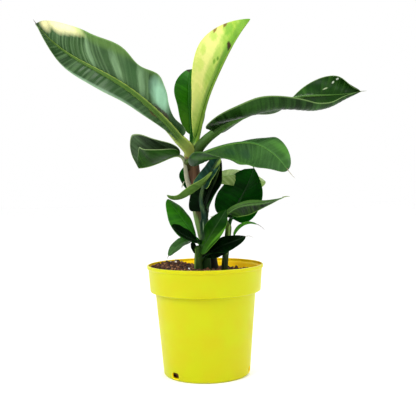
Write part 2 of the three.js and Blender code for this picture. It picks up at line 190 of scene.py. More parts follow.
# Pot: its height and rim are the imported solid's. The body is a surface over compass angle and length along
# the profile, with slots and drain holes left out; lift is the height of a slot's lower edge.
potBox = [np.round(np.array(corner) / mm, 1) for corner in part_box("pot")]
pot = dict(
    height=potBox[1][2], rim=potBox[1][0], band=27.0, bandFoot=57.2, bodyTop=51.9, bodyFoot=45.3,
    under=42.3, wall=1.5,
    columns=360, slots=3, slotFirst=-134.5, slotWidth=9.5, slotHeight=7.0, slotLift=1.6,
    drains=6, drainRadius=3.5, drainRing=25.0,
    # inner and innerWarm are painted light: the inside is made brighter and warmer than the outside
    yellow="#b4b803", warm="#b9ac04", inner="#ffd60c", innerWarm="#ffd00a", roughness=0.4)


def filleted(corners, cuts, steps=6):
    # polyline whose corners are rounded by a parabola starting and ending one cut away
    points = [corners[:1]]
    s = np.linspace(0, 1, steps)[:, None]
    for a, b, c, cut in zip(corners, corners[1:], corners[2:], cuts):
        start, end = b + unit(a - b) * cut, b + unit(c - b) * cut
        points.append(start * (1 - s) ** 2 + b * 2 * s * (1 - s) + end * s**2)
    return np.concatenate(points + [corners[-1:]])


def potProfile():
    # radius and height from the centre of the underside round the foot and the band to the rim's top
    top, bandFoot = pot["height"], pot["height"] - pot["band"]
    corners = np.array([
        [0, 0], [pot["under"] + 2.2, 0], [pot["bodyFoot"], 8], [pot["bodyTop"], bandFoot - 1.6],
        [pot["bandFoot"], bandFoot], [pot["rim"] - 1.2, top - 4.2], [pot["rim"], top - 3.2],
        [pot["rim"], top], [pot["rim"] - pot["wall"], top]])
    return filleted(corners, [2.2, 3, 1.2, 1.0, 0.7, 0.5, 1.1])


def openings():
    # angle, length along the profile, half sizes in degrees and mm, and the roundness of each opening
    found = []
    for i in range(pot["slots"]):
        half = np.degrees(pot["slotWidth"] / 2 / pot["bodyFoot"])
        found.append((pot["slotFirst"] + i * 360 / pot["slots"], None, round(half), pot["slotHeight"] / 2, 4))
    for i in range(pot["drains"]):
        half = np.degrees(pot["drainRadius"] / pot["drainRing"])
        found.append(((i + 0.5) * 360 / pot["drains"], pot["drainRing"], round(half), pot["drainRadius"], 2))
    return found


def turnFrom(angle, centre):
    # signed degrees from the centre, between -180 and 180
    return (angle - centre + 180) % 360 - 180


def makePot():
    # rows along the profile, columns round it; near an opening the grid is drawn onto a superellipse and
    # the quads inside it are left out, then a wall grows inward and every edge is rounded
    profile = potProfile()
    length = np.concatenate([[0], np.cumsum(np.linalg.norm(np.diff(profile, axis=0), axis=1))])
    foot = length[profile[:, 1] > 1e-6][0]
    slotLow, slotHigh = (np.interp(z, profile[:, 1][length >= foot], length[length >= foot])
                         for z in (pot["slotLift"], pot["slotLift"] + pot["slotHeight"]))
    ring, radius, aboveSlot = pot["drainRing"], pot["drainRadius"], slotHigh + 7
    spans = [(0, ring - 2 * radius, 3), (ring - 2 * radius, ring + 2 * radius, 16),
             (ring + 2 * radius, slotLow, 7), (slotLow, slotHigh, 8), (slotHigh, aboveSlot, 4)]
    rows = np.concatenate([np.linspace(a, b, n, endpoint=False) for a, b, n in spans])
    rest = length[length > aboveSlot]
    rows = np.concatenate([rows, np.linspace(aboveSlot, rest[0], 12, endpoint=False), rest])
    angle = pot["slotFirst"] + np.arange(pot["columns"]) * 360.0 / pot["columns"]
    along, around = np.meshgrid(rows, angle, indexing="ij")
    middle = (np.roll(along, -1, 0) + along)[:-1] / 2, (around + 180 / pot["columns"])[:-1]
    keep = np.ones(middle[0].shape, bool)
    newAlong, newRound = along.copy(), around.copy()
    for centre, at, halfAngle, halfLength, power in openings():
        at = (slotLow + slotHigh) / 2 if at is None else at
        halfLength = (slotHigh - slotLow) / 2 if power == 4 else halfLength
        keep &= np.maximum(abs(turnFrom(middle[1], centre)) / halfAngle, abs(middle[0] - at) / halfLength) > 1
        u, v = turnFrom(around, centre) / halfAngle, (along - at) / halfLength
        m = np.maximum(abs(u), abs(v))
        rounded = (abs(u) ** power + abs(v) ** power) ** (1 / power)
        pull = np.clip(2 - m, 0, 1) * (m / np.maximum(rounded, 1e-9) - 1)
        newRound += u * halfAngle * pull
        newAlong += v * halfLength * pull
    r, z = np.interp(newAlong, length, profile[:, 0]), np.interp(newAlong, length, profile[:, 1])
    a = np.radians(newRound)
    points = np.stack([r * np.cos(a), r * np.sin(a), z], -1)
    faces = gridFaces(len(rows), pot["columns"])[keep.ravel()]
    plastics = [potPlastic("outside", pot["yellow"], pot["warm"]),
                potPlastic("inside", pot["inner"], pot["innerWarm"])]
    piece = makePiece("pottedShell", [{"points": points, "faces": faces}], plastics, ["pot"])
    wall = piece.modifiers.new("wall", "SOLIDIFY")
    wall.thickness, wall.offset = pot["wall"] * mm, -1
    wall.material_offset, wall.material_offset_rim = 1, 1
    edges = piece.modifiers.new("edges", "BEVEL")
    edges.width, edges.segments = 0.3 * mm, 2
    edges.limit_method, edges.angle_limit = "ANGLE", math.radians(50)


def potPlastic(face, tone, warm):
    # injection-moulded polypropylene: even satin yellow with a faint grain and soft flow clouds; the inside
    # has painted light, a brighter and warmer yellow for the light shone through its own thin wall
    material, tree, shader = newMaterial(
        f"polypropylene, injection moulded, {face}", IOR=1.49, Specular_IOR_Level=0.15, Subsurface_Weight=0.6,
        Subsurface_Radius=(0.004, 0.003, 0.0004), Subsurface_Scale=1.0)
    place = addNode(tree, "TexCoord").outputs["Object"]
    cloud = addNode(tree, "TexNoise", {"Vector": place, "Scale": 38, "Detail": 3})
    grain = addNode(tree, "TexNoise", {"Vector": place, "Scale": 1400, "Detail": 2})
    share = addNode(tree, "MapRange", {0: cloud, 1: 0.35, 2: 0.65, 4: 0.55})
    body = addNode(tree, "Mix", {0: share, 6: srgb(tone), 7: srgb(warm)}, data_type="RGBA")
    rough = addNode(tree, "MapRange",
                    {0: cloud, 1: 0.3, 2: 0.7, 3: pot["roughness"] - 0.05, 4: pot["roughness"] + 0.07})
    bump = addNode(tree, "Bump", {"Strength": 0.25, "Distance": 0.0001, "Height": grain})
    fill(tree, shader, {"Base Color": body, "Roughness": rough, "Normal": bump})
    return material


makePot()
print("pot made")


# Compost: its surface rises to the left and the front, with crumbs, perlite and fibres lying on it. heap is
# x, y, height and spread; bigGrain is x, y and size; reach is how far out the loose grains lie.
compost = dict(
    level=107.0, tiltBack=-0.05, tiltRight=-0.075, heap=(-33, 33, 4.6, 9), wallClear=0.5, floor=2.5,
    reach=56.5, crumbs=3400, perlite=12, bigGrain=(-31.5, 27, 1.5), fibres=90,
    colours=("#26130a", "#452614", "#6a4023", "#976a44"), white="#e9e6dc", straw="#9a7b52")


def soilHeight(x, y):
    # a tilted plane, a round heap and two slow waves, kept below the rim
    hx, hy, high, spread = compost["heap"]
    heap = high * np.exp(-((x - hx) ** 2 + (y - hy) ** 2) / (2 * spread**2))
    waves = 0.7 * np.sin(x * 0.31 + 1) * np.cos(y * 0.27) + 0.5 * np.sin(x * 0.13 - y * 0.41)
    flat = compost["level"] + compost["tiltRight"] * x + compost["tiltBack"] * y
    return np.minimum(flat + heap + waves, pot["height"] - 1.2)


def wallInside(z):
    # inner radius of the pot at a height: straight below the band, then flaring to the rim
    bandFoot = pot["height"] - pot["band"]
    low = np.interp(z, [8, bandFoot - 2], [pot["bodyFoot"], pot["bodyTop"]])
    high = np.interp(z, [bandFoot + 1, pot["height"] - 2], [pot["bandFoot"], pot["rim"] - 1.6])
    return np.where(z > bandFoot, high, low) - pot["wall"] - compost["wallClear"]


def makeCompost():
    # closed plug: rings from the middle of the surface out to the wall, down it and in under the foot; the
    # surface carries two sine grits, smooth at the middle
    a = np.linspace(-np.pi, np.pi, 220, endpoint=False)
    share = np.linspace(0, 1, 80)[:, None]
    edge = wallInside(soilHeight(56 * np.cos(a), 56 * np.sin(a)))
    x, y = share * edge * np.cos(a), share * edge * np.sin(a)
    grit = 0.5 * np.sin(x * 1.1 + 2 * np.sin(y * 0.7)) * np.sin(y * 1.3 + 2 * np.sin(x * 0.6 + 1))
    grit += 0.35 * np.sin(x * 2.7 + 3 * np.sin(y * 1.9)) * np.sin(y * 2.3 + 2 * np.sin(x * 2.1))
    top = np.stack([x, y, soilHeight(x, y) + grit * np.minimum(share * 9, 1)], -1)
    bandFoot = pot["height"] - pot["band"]
    rings = [top]
    for z in (99, bandFoot + 2.2, bandFoot - 2.4, 9.8, compost["floor"]):
        r = wallInside(np.float64(z)) if z > compost["floor"] else pot["under"] - 2.6
        rings.append(np.stack([r * np.cos(a), r * np.sin(a), np.full_like(a, z)], -1)[None])
    rings.append(np.zeros((1, len(a), 3)) + [0, 0, compost["floor"]])
    points = np.concatenate(rings)
    faces = gridFaces(len(points), len(a))[:, ::-1]
    makePiece("compostBody", [{"points": points, "faces": faces}], [peat()], ["compost"])


def peat():
    # peat compost, damp and crumbly: matt brown-black grains with lighter fibre showing between them
    material, tree, shader = newMaterial("peat compost, crumbled", Roughness=0.95, IOR=1.4)
    place = addNode(tree, "TexCoord").outputs["Object"]
    speck = addNode(tree, "TexNoise", {"Vector": place, "Scale": 700, "Detail": 5, "Roughness": 0.7})
    share = addNode(tree, "MapRange", {0: speck, 1: 0.42, 2: 0.72})
    damp, dry = (srgb(colour) for colour in compost["colours"][1:3])
    tone = addNode(tree, "Mix", {0: share, 6: damp, 7: dry}, data_type="RGBA")
    bump = addNode(tree, "Bump", {"Strength": 0.8, "Distance": 0.0008, "Height": speck})
    fill(tree, shader, {"Base Color": tone, "Normal": bump})
    return material


def plainSolid(name, colour, roughness):
    # one even colour for things a millimetre or two across, whose own texture can't show
    material, _, _ = newMaterial(name, Base_Color=srgb(colour), Roughness=roughness, IOR=1.45)
    return material


def turns(count):
    # random rotations: unit quaternions written out as matrices
    w, x, y, z = unit(rng.normal(size=(count, 4))).T
    return np.stack([
        1 - 2 * (y * y + z * z), 2 * (x * y - z * w), 2 * (x * z + y * w),
        2 * (x * y + z * w), 1 - 2 * (x * x + z * z), 2 * (y * z - x * w),
        2 * (x * z - y * w), 2 * (y * z + x * w), 1 - 2 * (x * x + y * y)], -1).reshape(count, 3, 3)


def lumps(centres, sizes):
    # each lump is an icosahedron with every corner moved in or out, stretched and turned at random
    g = (1 + 5**0.5) / 2
    corners = unit(np.array([
        [-1, g, 0], [1, g, 0], [-1, -g, 0], [1, -g, 0], [0, -1, g], [0, 1, g],
        [0, -1, -g], [0, 1, -g], [g, 0, -1], [g, 0, 1], [-g, 0, -1], [-g, 0, 1]]))
    faces = np.array([
        [0, 11, 5], [0, 5, 1], [0, 1, 7], [0, 7, 10], [0, 10, 11], [1, 5, 9], [5, 11, 4], [11, 10, 2],
        [10, 7, 6], [7, 1, 8], [3, 9, 4], [3, 4, 2], [3, 2, 6], [3, 6, 8], [3, 8, 9], [4, 9, 5],
        [2, 4, 11], [6, 2, 10], [8, 6, 7], [9, 8, 1]])
    n = len(centres)
    shape = corners * rng.uniform(0.62, 1.2, (n, 12, 1)) * rng.uniform(0.6, 1.25, (n, 1, 3))
    points = np.einsum("nij,nkj->nki", turns(n), shape) * np.reshape(sizes, (-1, 1, 1)) + centres[:, None]
    return points, (faces + 12 * np.arange(n)[:, None, None]).reshape(-1, 3)


def scatter(count, low, high):
    # places on the compost clear of the stems and the wall, with sizes that are mostly small
    a, r = rng.uniform(-np.pi, np.pi, count), compost["reach"] * np.sqrt(rng.uniform(0, 1, count))
    x, y = r * np.cos(a), r * np.sin(a)
    size = low + (high - low) * rng.uniform(0, 1, count) ** 2.5
    clear = r + size < wallInside(soilHeight(x, y))
    for stem in stems.values():
        clear &= np.hypot(x - stem["foot"][0], y - stem["foot"][1]) > stem["radius"][0] + 0.5 * size
    x, y, size = x[clear], y[clear], size[clear]
    return np.stack([x, y, soilHeight(x, y) + 0.35 * size], -1), size


def makeCrumbs():
    # lumps in four shades of peat, then fewer and larger white grains set a little higher
    centres, size = scatter(compost["crumbs"], 0.5, 2.4)
    points, faces = lumps(centres, size)
    shade = rng.choice(4, len(centres), p=[0.34, 0.36, 0.2, 0.1])
    makePiece("compostCrumbs", [{"points": points, "faces": faces, "paint": np.repeat(shade, 20)}],
              [plainSolid(f"peat crumb {i}", c, 0.95) for i, c in enumerate(compost["colours"])],
              crease=20)
    centres, size = scatter(compost["perlite"], 0.7, 1.6)
    x, y, big = compost["bigGrain"]
    centres = np.vstack([centres + [0, 0, 0.4], [x, y, soilHeight(x, y) + big]])
    points, faces = lumps(centres, np.append(size, big))
    # expanded perlite: white glassy foam grains, matt and bright against the peat
    makePiece("perliteGrains", [{"points": points, "faces": faces}],
              [plainSolid("perlite, expanded", compost["white"], 0.7)], crease=20)


def makeFibres():
    # thin straws lying on the compost at any compass angle, nearly level
    centres, _ = scatter(compost["fibres"], 0.4, 0.6)
    chunks = []
    for centre in centres:
        a, tilt, half = rng.uniform(0, np.pi), rng.uniform(-0.25, 0.35), rng.uniform(1.2, 4)
        axis = np.array([np.cos(a), np.sin(a), tilt]) * half
        bend = np.array([-np.sin(a), np.cos(a), 0.4]) * rng.uniform(-0.8, 0.8)
        s = np.linspace(-1, 1, 6)[:, None]
        path = centre + [0, 0, 0.5] + axis * s + bend * (1 - s**2)
        chunks.append(tubeChunk(path, np.full(6, rng.uniform(0.14, 0.32)), np.array([[0, 0, 1.0]]), sides=5))
    # coir and straw: dull tan threads that catch the light
    makePiece("compostFibres", chunks, [plainSolid("coir fibre", compost["straw"], 0.8)])


# Stems: foot x and y on the compost, length, then evenly spaced keys in degrees for rise above the
# horizon and compass heading, and radius at foot and top. tones run from the foot to the top, the near-black
# ones at the foot being painted shade. strips are bands of another colour: from and to as shares of the
# length, the turn round the stem (0.25 is the front), half the width as a share of a turn, and the colour;
# the pale ones on the main stem are sheath edges, and the painted shade and painted highlights among them
# are noted at each stem.
stems = {
    "main": dict(
        foot=(7, 4), length=138, rise=[85, 79, 81, 89], heading=[180, 184, 188], radius=(7, 7.8),
        # the first four tones, near black to dark green, are painted shade over the foot; the browns are dry
        # sheath
        tones=("#0f1507", "#141d09", "#22300f", "#2f3f16", "#6a4e3a", "#73503e", "#654a30", "#5c5a2c"),
        stripe="#84795a", blotch="#3c2819", edges=3,
        # the pale strips are sheath edges; the near-black last strip, round the foot, is painted shade
        strips=[(0.5, 0.72, 0.08, 0.08, "#8fa070"), (0.2, 0.5, 0.06, 0.11, "#5f7d40"),
                (0.66, 0.98, 0.02, 0.1, "#86904e"), (-0.2, 0.17, 0.25, 0.7, "#0b1206")]),
    "centre": dict(
        foot=(1, -9.5), length=62, rise=[84, 88, 84], heading=[-90, -110, -120], radius=(5.6, 4.2),
        # dark tones throughout: its own dark blue-green, deepened by painted shade under the leaves
        tones=("#0c1c06", "#143008", "#1d480e", "#0f2c10", "#0c2418"), stripe="#1f4a1c", blotch="#0c1a08",
        # the pale narrow strip high on the left is a painted highlight, the green strip below it painted
        # light
        edges=2, strips=[(0.6, 0.9, 0.2, 0.02, "#6c8264"), (0.1, 0.7, 0.1, 0.05, "#457024")]),
    "front": dict(
        foot=(-7.4, -17), length=32, rise=[87, 86], heading=[-40, -30], radius=(4.2, 4),
        # the darker tones at the foot are painted shade
        tones=("#12200a", "#1c300c", "#274012", "#2c4c14"), stripe="#4c6a2a", blotch="#16240a", edges=2,
        # the paler strip down the left side is painted light
        strips=[(0, 0.9, 0.07, 0.08, "#5d7d34")]),
    "right": dict(
        foot=(18.8, -12.5), length=56, rise=[85, 82, 80], heading=[12, 20, 50], radius=(3.5, 3.1),
        # the near-black tones at the foot are painted shade
        tones=("#121a06", "#18240a", "#24380e", "#3a5418", "#46661f"), stripe="#5f7a3a", blotch="#182010",
        edges=2, strips=[(0.45, 0.98, 0.3, 0.06, "#6f8a44")]),
}


def rootedStem(stem):
    # the stem's foot goes 6 mm below the compost's surface
    x, y = stem["foot"]
    return {**stem, "foot": (x, y, float(soilHeight(x, y)) - 6)}


def makeStem(name, stem):
    # tube of overlapping sheaths: the radius tapers, swells at the foot and closes in a round top, and each
    # sheath's edge is a step that winds slowly upward
    limb = rootedStem(stem)
    t = np.linspace(0, 1, 120)
    path = limbPoints(limb, stem["length"], t)
    along, _, _ = limbAxes(limb, t)
    a = np.linspace(-np.pi, np.pi, 96, endpoint=False)
    up = unit(np.array([0, 1.0, 0]) - along * along[:, 1:2])
    side = np.cross(up, along)
    foot, top = stem["radius"]
    share = t[:, None]
    sheath = np.zeros((len(t), len(a)))
    for k in range(stem["edges"]):
        turn = (a / (2 * np.pi) + k / stem["edges"] + 0.22 * share * (-1) ** k + 0.13 * k) % 1
        sheath += 0.11 * (turn - 0.5) * np.clip((1 - turn) * 14, 0, 1)
    ribs = 0.006 * np.sin(a * 31 + 2 * np.sin(share * 9)) + 0.004 * np.sin(a * 17 + share * 12)
    swell = 0.03 * np.sin(share * 11 + a) + 0.12 * np.exp(-((share / 0.07) ** 2))
    r = (foot + (top - foot) * t)[:, None] * (1 + sheath + ribs + swell)
    r[-14:] *= np.sqrt(1 - np.linspace(0, 1, 14) ** 2 * 0.999)[:, None]
    ring = side[:, None] * (r * np.cos(a))[..., None] + up[:, None] * (r * np.sin(a))[..., None]
    points = np.concatenate([path[:1] * np.ones((1, len(a), 1)), path[:, None] + ring])
    place = np.stack(np.broadcast_arrays(np.concatenate([[0], t])[:, None], a[None] / (2 * np.pi) + 0.5), -1)
    chunk = {"points": points, "faces": gridFaces(len(points), len(a)), "uv": {"place": place}}
    makePiece(f"stem_{name}_sheaths", [chunk], [sheathMaterial(name, stem)], [f"stem_{name}"])


def sheathMaterial(name, stem):
    # banana pseudostem: rolled leaf sheaths, satin and finely ribbed, tinted from foot to top, with
    # browns of dry sheath higher up and painted shade darkening the foot
    material, tree, shader = newMaterial(
        f"leaf sheath, rolled, {name} stem", IOR=1.42, Specular_IOR_Level=0.15)
    place = addNode(tree, "TexCoord").outputs["Object"]
    up = addNode(tree, "SeparateXYZ", {0: addNode(tree, "UVMap", uv_map="place")})
    streaks = addNode(tree, "Mapping", {0: place, 3: (900, 900, 40)})
    fine = addNode(tree, "TexNoise", {"Vector": streaks, "Scale": 1, "Detail": 3, "Roughness": 0.65})
    stretched = addNode(tree, "Mapping", {0: place, 3: (230, 230, 30)})
    broad = addNode(tree, "TexNoise", {"Vector": stretched, "Scale": 1, "Detail": 3})
    shift = addNode(tree, "Math", {0: broad, 1: 0.12, 2: up.outputs[0]}, operation="MULTIPLY_ADD")
    height = addNode(tree, "Math", {0: shift, 1: 0.06}, operation="SUBTRACT")
    # tones from foot to top; the darkest, at the foot, are painted shade
    ramp = addNode(tree, "ValToRGB", {0: height})
    tones = stem["tones"]
    while len(ramp.color_ramp.elements) < len(tones):
        ramp.color_ramp.elements.new(0.5)
    for i, tone in enumerate(tones):
        ramp.color_ramp.elements[i].position = i / (len(tones) - 1)
        ramp.color_ramp.elements[i].color = srgb(tone)
    pale = addNode(tree, "MapRange", {0: fine, 1: 0.5, 2: 0.75, 4: 0.55})
    lined = addNode(tree, "Mix", {0: pale, 6: ramp, 7: srgb(stem["stripe"])}, data_type="RGBA")
    dark = addNode(tree, "MapRange", {0: broad, 1: 0.55, 2: 0.72, 4: 0.7})
    colour = addNode(tree, "Mix", {0: dark, 6: lined, 7: srgb(stem["blotch"])}, data_type="RGBA")
    # bands of another colour: sheath edges, painted shade and painted highlights
    for low, high, turn, wide, tone in stem["strips"]:
        wander = addNode(tree, "Math", {0: broad, 1: wide, 2: up.outputs[1]}, operation="MULTIPLY_ADD")
        away = addNode(tree, "Math", {0: wander, 1: turn + wide / 2}, operation="SUBTRACT")
        side = addNode(tree, "Math", {0: away}, operation="ABSOLUTE")
        across = addNode(tree, "MapRange", {0: side, 1: wide, 2: wide * 0.75})
        above = addNode(tree, "MapRange", {0: height, 1: low - 0.03, 2: low + 0.03})
        below = addNode(tree, "MapRange", {0: height, 1: high + 0.03, 2: high - 0.03})
        both = addNode(tree, "Math", {0: above, 1: below}, operation="MULTIPLY")
        mask = addNode(tree, "Math", {0: both, 1: across}, operation="MULTIPLY")
        colour = addNode(tree, "Mix", {0: mask, 6: colour, 7: srgb(tone)}, data_type="RGBA")
    bump = addNode(tree, "Bump", {"Strength": 0.5, "Distance": 0.0004, "Height": fine})
    rough = addNode(tree, "MapRange", {0: fine, 3: 0.4, 4: 0.65})
    fill(tree, shader, {"Base Color": colour, "Roughness": rough, "Normal": bump})
    return material


makeCompost()
makeCrumbs()
makeFibres()
print("compost made")
for name, stem in stems.items():
    makeStem(name, stem)
print("stems made")
